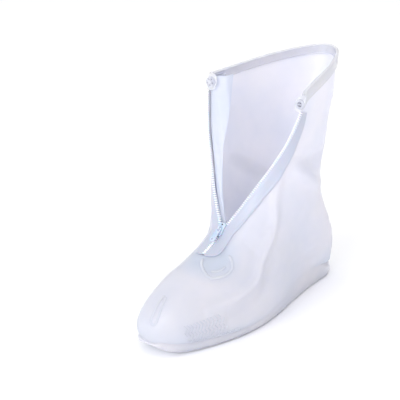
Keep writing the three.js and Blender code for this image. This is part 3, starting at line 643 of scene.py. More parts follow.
def repeatStamp(name, points, along, outward, stamp, material, spacing=0.0, size=1.0,
                variation=0.0, seed=1):
    points = np.asarray(points, float)
    mesh = bpy.data.meshes.new(name)
    edges = [(i, i + 1) for i in range(len(points) - 1)] if spacing else []
    mesh.from_pydata([tuple(p) for p in points], edges, [])
    for label, values in (("along", along), ("outward", outward)):
        layer = mesh.attributes.new(label, "FLOAT_VECTOR", "POINT")
        layer.data.foreach_set("vector", np.asarray(values, float).ravel())
    made = addObject(name, mesh)
    values = {"Stamp": stamp, "Spacing": max(spacing, 0.0001), "Size": size,
              "Size Variation": variation, "Seed": seed, "Finish": material,
              "Along A Line": bool(spacing)}
    modifier = made.modifiers.new("repeat", "NODES")
    modifier.node_group = stampTree
    for item in stampTree.interface.items_tree:
        if item.in_out == "INPUT" and item.name in values:
            modifier[item.identifier] = values[item.name]
    graph = bpy.context.evaluated_depsgraph_get()
    graph.update()
    baked = bpy.data.meshes.new_from_object(made.evaluated_get(graph))
    made.modifiers.clear()
    made.data = baked
    baked.name = name
    shadeSmooth(baked, 45)
    return made


def circle(radius, count, squash=1.0, start=0.0):
    return [(radius * math.cos(a), squash * radius * math.sin(a))
            for a in np.linspace(0, 2 * math.pi, count, endpoint=False) + start]


# A small block with chamfered edges, from its outline in x and y, as a stamp for repeats
def stampBlock(name, outline, low, high, bevel, segments=1):
    shape = bmesh.new()
    bottom = [shape.verts.new((x, y, low)) for x, y in outline]
    top = [shape.verts.new((x, y, high)) for x, y in outline]
    count = len(outline)
    shape.faces.new(bottom[::-1])
    shape.faces.new(top)
    for i in range(count):
        shape.faces.new((bottom[i], bottom[(i + 1) % count], top[(i + 1) % count], top[i]))
    bmesh.ops.recalc_face_normals(shape, faces=shape.faces)
    rim = [e for e in shape.edges if all(v.co.z > (low + high) / 2 for v in e.verts)]
    bmesh.ops.bevel(shape, geom=rim, offset=bevel, segments=segments, affect="EDGES",
                    profile=0.6)
    mesh = bpy.data.meshes.new(name)
    shape.to_mesh(mesh)
    shape.free()
    return bpy.data.objects.new(name, mesh)


# The upper: rings evenly spaced along the wall, one exactly at the end of the zip's slot
def ringPlaces():
    dense = np.linspace(0, 1, 500)
    lines = []
    for side, share in (("lateral", 0.25), ("lateral", 0.8), ("medial", 0.5)):
        lines.append(runOf(np.array([
            pointsAt(side, p, [share * girth(side, p)])[0] for p in dense])))
    mean = sum(line / line[-1] for line in lines) / len(lines) + dense * 0.4
    mean /= mean[-1]
    places = np.interp(np.linspace(0, 1, upper["ringCount"] + 1), mean, dense)
    nearest = int(np.argmin(np.abs(places - tailPlace)))
    places[nearest] = tailPlace
    return places, nearest


def makeUpper():
    places, tail = ringPlaces()
    half = upper["halfColumns"]
    shares = np.linspace(0, 1, half + 1)
    rings = {"outer": [], "inner": []}
    for i, place in enumerate(places):
        above = edgeRun("lateral", place) - edgeRun("lateral", tailPlace) if i > tail else 0
        into = min(above / upper["zipMargin"], 1)
        past = clamp((above - upper["zipTail"] - upper["narrowFrom"]) / upper["narrowOver"])
        widest = upper["zipMargin"] - (upper["zipMargin"] - upper["edgeMargin"]) * past
        margin = widest * math.sqrt(max(1 - (1 - into) ** 2, 0)) if i > tail else 0
        for key, lift in (("outer", 0.0), ("inner", -upper["wall"])):
            medial, lateral = [wallPoints(side, place, margin + (
                girth(side, place) - margin) * shares, lift) for side in ("medial", "lateral")]
            rings[key].append(np.concatenate([medial, lateral[:-1][::-1]]))
    outer, inner = np.array(rings["outer"]), np.array(rings["inner"])
    for grid in (outer, inner):
        grid[: tail + 1, -1] = grid[: tail + 1, 0]
    vertices, index, faces = gridPair(outer, inner)
    rows, columns = index.shape
    count, faces = index.size, faces.tolist()
    for i in range(tail, rows - 1):
        low, high = index[i, 0], index[i + 1, 0]
        faces.append([low, high, high + count, low + count])
        low, high = index[i, -1], index[i + 1, -1]
        faces.append([low, low + count, high + count, high])
    for j in range(columns - 1):
        first, second = index[-1, j], index[-1, j + 1]
        faces.append([first, second, second + count, first + count])
    tips = [outer[0, :-1].mean(0), inner[0, :-1].mean(0)]
    vertices = np.concatenate([vertices, tips])
    for j in range(columns - 1):
        faces.append([2 * count, index[0, j + 1], index[0, j]])
        faces.append([2 * count + 1, count + index[0, j], count + index[0, j + 1]])
    made = meshObject("upper", vertices, faces, upperFilm, 50, merge=0.00001)
    paintUpper(made)
    return made


# Where the film is tinted darker and bluer: over the tongue, round the heel, low on the toe and
# low all round
tints = {"tongueMiddle": (0.010, -0.062, 0.080), "tongue": 0.60, "heel": 0.55, "toe": 0.35,
         "low": 0.60}


def paintUpper(made):
    points = np.zeros(len(made.data.vertices) * 3)
    made.data.vertices.foreach_get("co", points)
    _, y, z = points.reshape(-1, 3).T
    apart = np.linalg.norm(points.reshape(-1, 3) - np.array(tints["tongueMiddle"]), axis=1)
    tint = np.maximum.reduce([
        tints["tongue"] * rampUp(apart, 0.034, -0.018),
        tints["heel"] * rampUp(y, 0.060, 0.04) * rampUp(z, 0.050, -0.03),
        tints["toe"] * rampUp(y, -0.105, -0.02) * rampUp(z, 0.045, -0.03),
        tints["low"] * rampUp(z, 0.022, -0.018)])
    layer = made.data.attributes.new("tint", "FLOAT", "POINT")
    layer.data.foreach_set("value", tint)


ride(makeUpper(), "shell")
print("upper made")

# Outsole: a plate with rounded edges over a field of lugs
sole = {
    "inset": 0.85, "toe": -0.492, "heel": 0.496, "heelRound": 0.026, "heelSquareness": 3.0,
    "heelNarrowing": 0.80, "lugToe": -0.44, "plateLow": 0.0014, "rows": 110, "columns": 34,
    "lugStep": 0.0088, "lugSize": 0.0060, "lugSquash": 0.62, "lugLean": 0.6, "lugBevel": 0.0004,
    "wallShare": 0.66, "heelShare": 0.87, "heelBulge": 0.0030,
    "wallColumns": 300, "wallSmoothing": 8, "wallLift": -0.0002,
    "wallFoot": 0.0012, "wallBulge": 0.0012, "wallThickness": 0.0012, "heelPlace": 0.660,
    "plateShare": 0.95, "plateToe": -0.484, "plateHeel": 0.490, "heelStart": 0.72,
}


solePlaces = (placeWhere("bottomY", sole["toe"], 0, 0.5),
              placeWhere("bottomY", sole["heel"], 0.3, 0.66))


def soleRow(share):
    row = rowAt(placeWhere("bottomY", share, solePlaces[0], solePlaces[1]))
    z = row["bottomZ"] * (upper["shaftHeight"] - soleLift) if row["bottomY"] < 0 else 0.0
    y = row["bottomY"] * upper["soleLength"]
    heelY = sole["heel"] * upper["soleLength"]
    into = clamp(1 - (heelY - y) / sole["heelRound"])
    narrow = math.sqrt(max(1 - sole["heelNarrowing"] * into ** sole["heelSquareness"], 0))
    return row, y, z, narrow


def solePoint(found, share, height):
    row, y, z, narrow = found
    half = row["lateral"] if share > 0 else row["medial"]
    x = (row["backShift"] + share * half * sole["inset"] * narrow) * upper["upperWidth"]
    return np.array([x, y, z + height])


def makeSole():
    steps = np.linspace(0, 1, sole["rows"] + 1)
    shares = sole["plateToe"] + (sole["plateHeel"] - sole["plateToe"]) * (
        1 - np.cos(steps * math.pi)) / 2
    across = np.sin(np.linspace(-1, 1, sole["columns"] + 1) * math.pi / 2)
    found = [soleRow(s) for s in shares]
    top, low = upper["soleThickness"], sole["plateLow"]
    middle, thick = (top + low) / 2, (top - low) / 2
    grids = []
    for direction in (1, -1):
        grid = []
        for step, item in zip(steps, found):
            end = max(1 - abs(2 * step - 1) ** 30, 0.25) ** 0.5
            grid.append([solePoint(item, a * sole["plateShare"], middle + direction * thick * end
                                   * max(1 - abs(a) ** 14, 0.12) ** 0.5) for a in across])
        grids.append(np.array(grid))
    return sheetObject("soleplate", grids[0], grids[1], solePvc, sharp=60)


def makeLugs():
    outline = circle(sole["lugSize"] / 2, 8, sole["lugSquash"], math.pi / 8)
    lug = stampBlock("lugStamp", outline, -0.0006, sole["plateLow"], sole["lugBevel"])
    points, along = [], []
    count = int(upper["soleLength"] * 0.97 / sole["lugStep"])
    for i in range(count):
        share = sole["toe"] + (sole["heel"] - sole["toe"]) * (i + 0.9) / (count + 0.8)
        if share < sole["lugToe"]:
            continue
        item = soleRow(share)
        left, right = solePoint(item, -1.0, 0)[0], solePoint(item, 1.0, 0)[0]
        margin = sole["lugSize"] * 0.75
        room = right - left - 2 * margin
        if room < sole["lugSize"]:
            continue
        number = max(int(room / sole["lugStep"]), 1)
        for j in range(number + 1):
            shift = 0.5 * (i % 2) / max(number, 1)
            t = j / number + shift
            if t > 1:
                continue
            x = left + margin + room * t
            points.append([x, item[1], item[2] + sole["plateLow"]])
            lean = sole["lugLean"] if (i + j) % 2 else -sole["lugLean"]
            along.append([math.sin(lean), math.cos(lean), 0])
    outward = np.tile([0.0, 0.0, -1.0], (len(points), 1))
    return repeatStamp("soleLugs", points, along, outward, lug, solePvc)


# The moulded side of the sole: from the turn of the wall down to the plate's edge, all round
def makeSoleWall():
    start, end = solePlaces
    steps = (1 - np.cos(np.linspace(0, math.pi, 120))) / 2
    shares = sole["toe"] + (sole["heel"] - sole["toe"]) * steps
    high, low, bulge = [], [], []
    top = sole["wallShare"]

    def station(side, place, share, foot, heel):
        d = [share * girth(side, place)]
        high.append(wallPoints(side, place, d, sole["wallLift"])[0])
        low.append(foot)
        bulge.append([sole["wallBulge"] + (sole["heelBulge"] - sole["wallBulge"]) * heel])

    def sideRun(side, order):
        sign = sideSign[side]
        for k in order:
            item = soleRow(shares[k])
            place = placeWhere("bottomY", shares[k], start, end)
            into = clamp((steps[k] - sole["heelStart"]) / (1 - sole["heelStart"]))
            place += (sole["heelPlace"] - end) * into ** 3
            rise = top + (sole["heelShare"] - top) * into ** 2
            station(side, place, rise, solePoint(item, sign, sole["wallFoot"]), into ** 2)

    def endRun(first, second, place, edge, item):
        for t in np.linspace(0, 1, 22)[1:-1]:
            side = first if t < 0.5 else second
            share = edge + (1 - edge) * (1 - abs(2 * t - 1))
            x = sideSign[first] * (1 - 2 * t)
            station(side, place, share, solePoint(item, x, sole["wallFoot"]), float(place > 0.5))
    sideRun("medial", range(len(steps)))
    endRun("medial", "lateral", sole["heelPlace"], sole["heelShare"], soleRow(shares[-1]))
    sideRun("lateral", reversed(range(len(steps))))
    endRun("lateral", "medial", start, top, soleRow(shares[0]))
    lines = np.concatenate([np.array(high), np.array(low), np.array(bulge)], axis=1)
    lines = np.concatenate([lines, lines[:1]])
    run = runOf(lines[:, :6])
    even = np.linspace(0, run[-1], sole["wallColumns"] + 1)[:-1]
    lines = np.stack([np.interp(even, run, lines[:, k]) for k in range(7)], -1)
    for _ in range(sole["wallSmoothing"]):
        lines = (np.roll(lines, 1, axis=0) + np.roll(lines, -1, axis=0) + 2 * lines) / 4
    high, low, bulge = lines[:, :3], lines[:, 3:6], lines[:, 6:]
    around = np.roll(low, -2, axis=0) - np.roll(low, 2, axis=0)
    flat = unit(np.stack([around[:, 1], -around[:, 0], np.zeros(len(around))], -1))
    flat *= np.sign(np.sum(flat * (low - low.mean(0)), axis=1, keepdims=True))
    outer, inner = [], []
    for t in np.linspace(0, 1, 10):
        line = high + (low - high) * t + flat * bulge * math.sin(math.pi * t)
        depth = sole["wallThickness"] * (0.35 + 0.65 * math.sin(math.pi * t))
        outer.append(np.concatenate([line, line[:1]]))
        back = line - flat * depth + np.array([0, 0, 0.35 * depth])
        inner.append(np.concatenate([back, back[:1]]))
    outer, inner = np.array(outer), np.array(inner)
    outer[..., 2] = np.maximum(outer[..., 2], 0.0003)
    vertices, index, faces = gridPair(outer, inner)
    count, faces = index.size, faces.tolist()
    for j in range(index.shape[1] - 1):
        faces.append([index[0, j], index[0, j] + count, index[0, j + 1] + count, index[0, j + 1]])
        faces.append([index[-1, j], index[-1, j + 1], index[-1, j + 1] + count,
                      index[-1, j] + count])
    return meshObject("soleWall", vertices, faces, upperFilm, 60, merge=0.00001)


ride(makeSole(), "outsole")
ride(makeSoleWall())
ride(makeLugs())
print("outsole made")

# Zip: tapes welded along the two front edges, with the open teeth
zipLook = {
    "tapeFrom": 0.0015, "tapeTo": 0.0146, "tapeLift": 0.0004, "tapeThickness": 0.0009,
    "toothPitch": 0.0023, "toothWidth": 0.00135, "toothReach": 0.0022, "sliderLength": 0.015,
    "tabHeight": 0.017, "chainEndGap": 0.0019, "tapeRound": 0.011, "tapeEnd": 0.22,
    "weldAt": 0.0128, "weldHeight": 0.00035, "seamAt": 0.0052, "seamHeight": 0.00022,
    "cordAt": 0.0026, "cordHeight": 0.0003,
}
zipTop = {side: placeFrom(side, 1.0, -(zipLook["tabHeight"] + upper["gap"])) for side in sideSign}


def edgePlaces(side, start, end, step):
    low, high = edgeRun(side, start), edgeRun(side, end)
    tablePlaces, tableRun = edgeTables[side]
    count = max(int((high - low) / step), 2)
    return np.interp(np.linspace(low, high, count + 1), tableRun, tablePlaces)


def makeTape(side):
    places = edgePlaces(side, placeFrom(side, tailPlace, upper["gap"]), zipTop[side], 0.0022)
    distances = np.concatenate([
        np.linspace(zipLook["tapeFrom"], 0.0034, 5), np.linspace(0.0040, 0.0122, 12),
        np.linspace(0.0126, zipLook["tapeTo"], 6)])
    weld = peak(distances, zipLook["weldAt"], 0.00045) * zipLook["weldHeight"]
    weld += peak(distances, zipLook["seamAt"], 0.0004) * zipLook["seamHeight"]
    fromEdge = np.minimum(distances - distances[0], distances[-1] - distances)
    thickness = zipLook["tapeThickness"] * np.sqrt(np.clip(fromEdge / 0.0006, 0.15, 1))
    cord = peak(distances, zipLook["cordAt"], 0.0005) * zipLook["cordHeight"]
    run = np.array([edgeRun(side, p) for p in places])
    outer, inner = [], []
    for place, into in zip(places, np.clip((run - run[0]) / zipLook["tapeRound"], 0, 1)):
        reach = max(math.sqrt(1 - (1 - into) ** 2), zipLook["tapeEnd"])     # rounded lower end
        d = distances[0] + (distances - distances[0]) * reach
        lift = zipLook["tapeLift"] + thickness + weld + cord
        outer.append(wallPoints(side, place, d, lift))
        inner.append(wallPoints(side, place, d, zipLook["tapeLift"] - cord))
    layout = np.stack(np.meshgrid(run, distances, indexing="ij"), -1)
    return sheetObject("zipTape" + side.capitalize(), np.array(outer), np.array(inner), wovenTape,
                       layout, 60)


# One tooth: a root on the tape, a waist and a rounded head towards -X, the free edge
def toothStamp():
    w, reach = zipLook["toothWidth"] / 2, zipLook["toothReach"]
    outline = [(0.0006, -w * 0.8), (0.0006, w * 0.8), (-reach * 0.45, w * 0.75),
               (-reach * 0.62, w), (-reach * 0.85, w * 0.95), (-reach, w * 0.45),
               (-reach, -w * 0.45), (-reach * 0.85, -w * 0.95), (-reach * 0.62, -w),
               (-reach * 0.45, -w * 0.75)]
    return stampBlock("toothStamp", outline, -0.0012, 0.0012, 0.0003)


tooth = toothStamp()


def edgeFrames(side, places, distance, lift):
    points = np.array([wallPoints(side, p, [distance], lift)[0] for p in places])
    outward = np.array([normalsAt(side, p, [max(distance, 0.002)])[0] for p in places])
    away = np.array([(pointsAt(side, p, [distance + 0.002])
                      - pointsAt(side, p, [distance]))[0] for p in places])
    along = unit(np.cross(outward, unit(away)))      # so that the stamp's X points into the wall
    return points, along, outward


def makeTeeth(side):
    start = placeFrom(side, throatPlace, zipLook["sliderLength"] / 2 + 0.0006)
    places = edgePlaces(side, start, placeFrom(side, zipTop[side], -0.0008), 0.0022)
    lift = zipLook["tapeLift"] + zipLook["tapeThickness"] / 2
    points, along, outward = edgeFrames(side, places, 0.0022, lift)
    return repeatStamp("zipTeeth" + side.capitalize(), points, along, outward, tooth,
                       toothPlastic, spacing=zipLook["toothPitch"])


# The closed stretch below the slider: teeth from both sides, half a pitch apart
def makeChain():
    top = placeFrom("lateral", throatPlace, -(zipLook["sliderLength"] / 2 + upper["gap"]))
    bottom = placeFrom("lateral", tailPlace, zipLook["chainEndGap"])
    lift = zipLook["tapeLift"] + zipLook["tapeThickness"] / 2
    runLow, runHigh = edgeRun("lateral", bottom), edgeRun("lateral", top)
    pitch = zipLook["toothPitch"]
    count = int((runHigh - runLow - 0.0015) / (pitch / 2))
    points, along, outward = [], [], []
    tablePlaces, tableRun = edgeTables["lateral"]
    for i in range(count + 1):
        run = runLow + 0.0008 + i * pitch / 2
        place = float(np.interp(run, tableRun, tablePlaces))
        side = "lateral" if i % 2 else "medial"
        point, away, out = edgeFrames(side, [place], 0.0012, lift)
        points.append(point[0])
        along.append(away[0])
        outward.append(out[0])
    return repeatStamp("zipChainTeeth", points, along, outward, tooth, toothPlastic, size=0.96)


for side in sideSign:
    ride(makeTape(side), "zip_tape_" + side)
    ride(makeTeeth(side), "zip_teeth_" + side)
ride(makeChain(), "zip_chain")
print("tapes and teeth made")

# Hem: the welded band outside the rim with its two tabs, a strip inside, and a rolled lip on top
hem = {
    "height": 0.011, "thickness": 0.0012, "tabReach": 0.010, "tabHeight": 0.017,
    "tabEndShare": 0.12, "insideHeight": 0.0090, "insideThickness": 0.0007, "levels": 16,
}


# Points of the rim band for columns of the wall: run down from the rim, at a lift
def rimColumns(side, distances, drops, lifts):
    samples = np.linspace(1.0, 0.84, 30)
    full = girth(side, 1.0)
    shares = distances / full
    smooth = np.array([pointsAt(side, p, np.where(distances < 0.006, distances,
                                                  shares * girth(side, p))) for p in samples])
    steps = np.linalg.norm(np.diff(smooth, axis=0), axis=-1)
    run = np.concatenate([np.zeros((1, len(distances))), np.cumsum(steps, axis=0)])
    stacks = {}
    for lift in {float(v) for v in lifts.ravel()}:
        stacks[lift] = np.array([wallPoints(side, p, np.where(
            distances < 0.006, distances, shares * girth(side, p)), lift) for p in samples])
    grid = np.zeros(drops.shape + (3,))
    for j in range(len(distances)):
        for k in range(drops.shape[1]):
            stack = stacks[float(lifts[j, k])][:, j]
            grid[j, k] = [np.interp(drops[j, k], run[:, j], stack[:, m]) for m in range(3)]
    return grid


def rimDistances(side, start, count):
    full = girth(side, 1.0)
    near = np.linspace(start, 0.020, 12)
    return np.concatenate([near, np.linspace(0.020, full, count)[1:]])


# Both sides as one run, from the medial front edge round the back to the lateral one
def acrossBack(sides, keys):
    return [np.concatenate([sides["medial"][key], sides["lateral"][key][:-1][::-1]])
            for key in keys]


def makeHemBand():
    levels = np.linspace(0, 1, hem["levels"] + 1)
    ends = np.sqrt(np.clip(np.minimum(levels, 1 - levels) / 0.06, 0.2, 1))
    weld = peak(levels, 0.80, 0.035) + peak(levels, 0.16, 0.035)
    lifted = np.round(hem["thickness"] * ends + 0.00028 * weld, 6)
    past = np.sin(np.linspace(1, 0, 12)[:-1] * math.pi / 2)
    sides = {}
    for side in ("medial", "lateral"):
        distances = rimDistances(side, 0.0, 74)
        blend = np.clip(distances / 0.014, 0, 1)
        heights = hem["tabHeight"] + (hem["height"] - hem["tabHeight"]) * (
            blend * blend * (3 - 2 * blend))
        drops = heights[:, None] * levels[None, :]
        lifts = np.tile(upper["gap"] + lifted, (len(distances), 1))
        outer = rimColumns(side, distances, drops, lifts)
        inner = rimColumns(side, distances, drops, np.full(drops.shape, upper["gap"]))
        tabs = {"outer": [], "inner": []}
        for t in past:
            narrow = math.sqrt(max(1 - t ** 4, hem["tabEndShare"]))
            drop = hem["tabHeight"] * (0.5 + (levels - 0.5) * narrow)[None, :]
            for key, lift in (("outer", upper["gap"] + lifted), ("inner", np.full(
                    len(levels), upper["gap"]))):
                base = rimColumns(side, np.zeros(1), drop, lift[None, :])[0]
                tangents = [beyondTangent(side, placeFrom(side, 1.0, -down)) for down in drop[0]]
                tabs[key].append(base + np.array(tangents).reshape(-1, 3) * t * hem["tabReach"])
        sides[side] = {
            "outer": np.concatenate([np.array(tabs["outer"]), outer]),
            "inner": np.concatenate([np.array(tabs["inner"]), inner]),
        }
    return sheetObject("hemBand", *acrossBack(sides, ("outer", "inner")), hemFilm, sharp=55)


def makeHemInside():
    levels = np.linspace(0, 1, 10)
    ends = np.sqrt(np.clip(np.minimum(levels + 0.1, 1 - levels) / 0.08, 0.2, 1))
    weld = peak(levels, 0.84, 0.05) * 0.00025
    depth = np.round(hem["insideThickness"] * ends + weld, 6)
    sides = {}
    for side in ("medial", "lateral"):
        distances = rimDistances(side, upper["zipMargin"] + 0.0004, 74)
        drops = np.full((len(distances), 1), hem["insideHeight"]) * levels[None, :]
        near = rimColumns(side, distances, drops, np.full(drops.shape, -upper["wall"]))
        far = rimColumns(side, distances, drops,
                         np.tile(-upper["wall"] - depth, (len(distances), 1)))
        sides[side] = (near, far)
    return sheetObject("hemInside", *acrossBack(sides, (0, 1)), stripFilm, sharp=55)


def makeLip():
    points, normals = [], []
    for side in ("medial", "lateral"):
        distances = rimDistances(side, 0.0008, 120)
        line = wallPoints(side, 1.0, distances, -0.0001)
        below = wallPoints(side, 0.985, distances * girth(side, 0.985) / girth(side, 1.0), -0.0001)
        up = unit(line - below)
        if side == "lateral":
            line, up = line[:-1][::-1], up[:-1][::-1]
        points.append(line)
        normals.append(up)
    return beadObject("rimLip", np.concatenate(points), np.concatenate(normals), hemFilm,
                      0.0034, 0.0024, sink=0.5, turns=14)


ride(makeHemBand(), "hem_band")
ride(makeHemInside())
ride(makeLip())
print("hem made")

# Storm flap: a limp strip behind the medial edge that ends below in a round tongue
flap = {
    "gap": 0.00095, "thickness": 0.0010, "reach": 0.027, "topDrop": 0.0033, "tongueRadius": 0.028,
    "tongueLength": 0.058, "tongueTip": 0.0005, "heldShare": 0.17,
    "beadHeight": 0.0005, "sway": (0.0018, 0.0006), "held": 14, "free": 18,
    "rows": [[0.00, 0.15], [0.12, 0.18], [0.35, 0.37], [0.55, 0.55], [0.75, 0.82], [1.00, 1.00]],
}


def tongueReach(place):
    below = edgeRun("medial", throatPlace) - edgeRun("medial", place) if place < throatPlace else 0
    straight = flap["tongueLength"] - flap["tongueRadius"]
    into = max(below - straight, 0)
    half = math.sqrt(max(flap["tongueRadius"] ** 2 - into ** 2, 0))
    shown = flap["reach"] * curveThrough(flap["rows"], riseOf(rowAt(place)["topZ"]), 1)
    blend = clamp(below / straight)
    return half, min(shown + (flap["tongueRadius"] - shown) * blend, half)


tongueBottom = placeFrom("medial", throatPlace, flap["tongueTip"] - flap["tongueLength"])


def makeFlap():
    top = placeFrom("medial", 1.0, -flap["topDrop"])
    places = edgePlaces("medial", tongueBottom, top, 0.0020)
    outer, inner = [], []
    for place in places:
        welded, shown = tongueReach(place)
        rise = riseOf(rowAt(place)["topZ"])
        held = welded
        if place > throatPlace:
            held = min(upper["zipMargin"] + girth("medial", place) * flap["heldShare"], welded)
        free = np.linspace(0, 1, flap["free"])[1:]
        distances = np.concatenate([np.linspace(held, 0, flap["held"]), -free * shown])
        past = np.concatenate([np.zeros(flap["held"]), free])
        edge = np.sqrt(np.clip((1 - past) / 0.05, 0.25, 1)) * np.sqrt(
            np.clip(np.linspace(0, 1, len(past)) / 0.04, 0.25, 1))
        bead = flap["beadHeight"] * peak(past, 0.93, 0.035)
        slow, quick = np.sin(past * 5.2 + 9 * rise), np.sin(past * 11 + 23 * rise)
        sway = rise * past * (-flap["sway"][0] * slow - flap["sway"][1] * quick)
        base = -(upper["wall"] + flap["gap"]) + sway
        back = base - flap["thickness"] * edge - bead
        outer.append(wallPoints("medial", place, distances, base + bead))
        inner.append(wallPoints("medial", place, distances, back))
    return sheetObject("stormFlap", np.array(outer), np.array(inner), flapFilm, sharp=55)


def wallLine(side, path, count, lift=0.0):
    knots = np.linspace(0, 1, len(path))
    steps = np.linspace(0, 1, count)
    pairs = np.stack([np.interp(steps, knots, [p[k] for p in path]) for k in (0, 1)], -1)
    for _ in range(6):
        pairs[1:-1] = (pairs[:-2] + pairs[2:] + 2 * pairs[1:-1]) / 4
    points = [wallPoints(side, p, [s * girth(side, p)], lift)[0] for p, s in pairs]
    normals = [normalsAt(side, p, [s * girth(side, p)])[0] for p, s in pairs]
    return np.array(points), np.array(normals)


# Raised beads on the outer side: name, width, height, sink, count and the path they follow. The
# tongue's lower edge is welded through to the outside
weldBeads = [
    ("tongueWeld", 0.0032, 0.0014, 0.4, 90, [
        (0.330, 0.020), (0.311, 0.050), (0.298, 0.105), (0.292, 0.158), (0.296, 0.200),
        (0.315, 0.222), (0.338, 0.233), (0.352, 0.220), (0.368, 0.180), (0.374, 0.142)]),
    ("tongueStreak", 0.0026, 0.0010, 0.4, 40, [
        (0.308, 0.150), (0.318, 0.172), (0.330, 0.183), (0.345, 0.183)]),
    ("toePinch", 0.0024, 0.0012, 0.45, 90, [
        (0.188, 0.030), (0.170, 0.024), (0.152, 0.024), (0.122, 0.042), (0.095, 0.058),
        (0.077, 0.080), (0.067, 0.135), (0.066, 0.200), (0.078, 0.225), (0.095, 0.200),
        (0.111, 0.167), (0.141, 0.117), (0.171, 0.075), (0.186, 0.052)]),
]

ride(makeFlap(), "storm_flap")
for name, width, height, sink, count, path in weldBeads:
    ride(beadObject(name, *wallLine("lateral", path, count), beadPvc, width, height, sink=sink))
print("flap and welds made")

# Embossed grip: short slanted strokes beside the toes, and dots low along the sole's edge
grip = {
    "strokeLength": 0.0052, "strokeWidth": 0.0012, "strokeHeight": 0.0005, "strokeColumns": 12,
    "strokeRows": (0.475, 0.515, 0.555, 0.595), "strokeFrom": 0.176, "strokeTo": 0.290,
    "strokeStep": 0.0086, "leans": (-0.60, 0.45), "dotStep": 0.0042,
    "dotSize": 0.0018, "dotHeight": 0.0007, "dotColumns": 30, "dotRows": (0.630, 0.647),
}


def capsule(length, width, ends=3):
    r, h = width / 2, (length - width) / 2
    top = [(r * math.cos(a), h + r * math.sin(a)) for a in np.linspace(0, math.pi, ends + 1)]
    return top + [(-x, -y) for x, y in top]


# Stamps on both sides at spots given as place, share round the half and lean from the upright
def emboss(name, spots, stamp, variation, seed):
    for side in ("lateral", "medial"):
        points, along, outward = [], [], []
        for place, share, lean in spots:
            d = [share * girth(side, place)]
            up = normalsAt(side, place, d)[0]
            direction = np.array([0.0, 1.0, 0.0])
            if lean is not None:
                ahead = pointsAt(side, place + 0.01, [share * girth(side, place + 0.01)])
                forward = unit(ahead - pointsAt(side, place, d))[0]
                direction = math.cos(lean) * np.cross(up, forward) + math.sin(lean) * forward
            points.append(wallPoints(side, place, d, 0.0)[0])
            along.append(direction)
            outward.append(up)
        ride(repeatStamp(name + side.capitalize(), points, along, outward, stamp, beadPvc,
                         variation=variation, seed=seed))


strokes, dots = [], []
for row, share in enumerate(grip["strokeRows"]):
    for column in range(grip["strokeColumns"]):
        place = 0.184 + grip["strokeStep"] * (column + 0.5 * (row % 2)) + 0.004 * (row - 2)
        if grip["strokeFrom"] < place < grip["strokeTo"]:
            strokes.append((place, share, grip["leans"][row % 2]))
for row, share in enumerate(grip["dotRows"]):
    for column in range(grip["dotColumns"]):
        dots.append((0.196 + grip["dotStep"] * (column + 0.5 * row), share, None))
emboss("gripStrokes", strokes, stampBlock(
    "strokeStamp", capsule(grip["strokeLength"], grip["strokeWidth"]), -0.0005,
    grip["strokeHeight"], 0.00025), 0.06, 4)
emboss("gripDots", dots, stampBlock(
    "dotStamp", circle(grip["dotSize"] / 2, 8), -0.0005, grip["dotHeight"], 0.00028), 0.08, 7)
print("grip made")

# Slider, in its own frame: x across the zip, y up along it, z out of the wall
slider = {
    "length": 0.0150, "width": 0.0084, "plateThickness": 0.0014, "keelThickness": 0.0010,
    "keelLength": 0.00825, "keelWidth": 0.0055, "keelDrop": 0.0018, "postWidth": 0.00176,
    "bridgeWidth": 0.0016, "bridgeThickness": 0.0012, "pullLength": 0.017, "pullWidth": 0.006,
    "pullNeck": 0.0048, "pullThickness": 0.0014, "pullHole": 0.0010, "pullTilt": 9.0,
}
plateLow = zipLook["tapeLift"] + zipLook["tapeThickness"] + 1.5 * upper["gap"]
plateHigh = plateLow + slider["plateThickness"]
keelHigh = zipLook["tapeLift"] - 2 * upper["gap"]
bridgeInner = slider["pullThickness"] / math.sqrt(2) + upper["gap"]
bridgeOuter = bridgeInner + slider["bridgeThickness"]
axisHeight = plateHigh + bridgeInner


def sliderMatrix():
    origin = pointsAt("lateral", throatPlace, [0.0])[0]
    below = pointsAt("lateral", placeFrom("lateral", throatPlace, -slider["length"] / 2), [0.0])[0]
    high = placeFrom("lateral", throatPlace, slider["length"] / 2)
    above = closedHalf(rowAt(high), "lateral")[0]
    up = Vector(above - below).normalized()
    out = Vector((1, 0, 0)).cross(up).normalized()
    across = up.cross(out)
    matrix = Matrix((across, up, out)).transposed().to_4x4()
    matrix.translation = Vector(origin)
    return matrix


# A flat plate with holes and rounded edges, between two heights
def plateMesh(loops, low, high, bevel, across=0.0, up=0.0):
    curve = bpy.data.curves.new("plate", "CURVE")
    curve.dimensions = "2D"
    curve.fill_mode = "BOTH"
    curve.extrude = (high - low) / 2 - bevel
    curve.bevel_depth = bevel
    curve.bevel_resolution = 2
    curve.offset = -bevel
    for loop in loops:
        spline = curve.splines.new("POLY")
        spline.points.add(len(loop) - 1)
        spline.use_cyclic_u = True
        for point, (x, y) in zip(spline.points, loop):
            point.co = (x, y, 0, 1)
    holder = addObject("plate", curve)
    graph = bpy.context.evaluated_depsgraph_get()
    mesh = bpy.data.meshes.new_from_object(holder.evaluated_get(graph))
    bpy.data.objects.remove(holder)
    mesh.transform(Matrix.Translation((across, up, (low + high) / 2)))
    return mesh


def arc(x, y, radius, start, end, steps=8):
    return [(x + radius * math.cos(a), y + radius * math.sin(a))
            for a in np.linspace(start, end, steps + 1)]


def roundedPlate(width, length, corner, waist=0.0):
    x, y, q = width / 2, length / 2, math.pi / 2
    left = [(-x + waist, 0.0)] if waist else []
    right = [(x - waist, 0.0)] if waist else []
    inX, inY = x - corner, y - corner
    return (arc(inX, -inY, corner, -q, 0) + right + arc(inX, inY, corner, 0, q)
            + arc(-inX, inY, corner, q, 2 * q) + left + arc(-inX, -inY, corner, 2 * q, 3 * q))


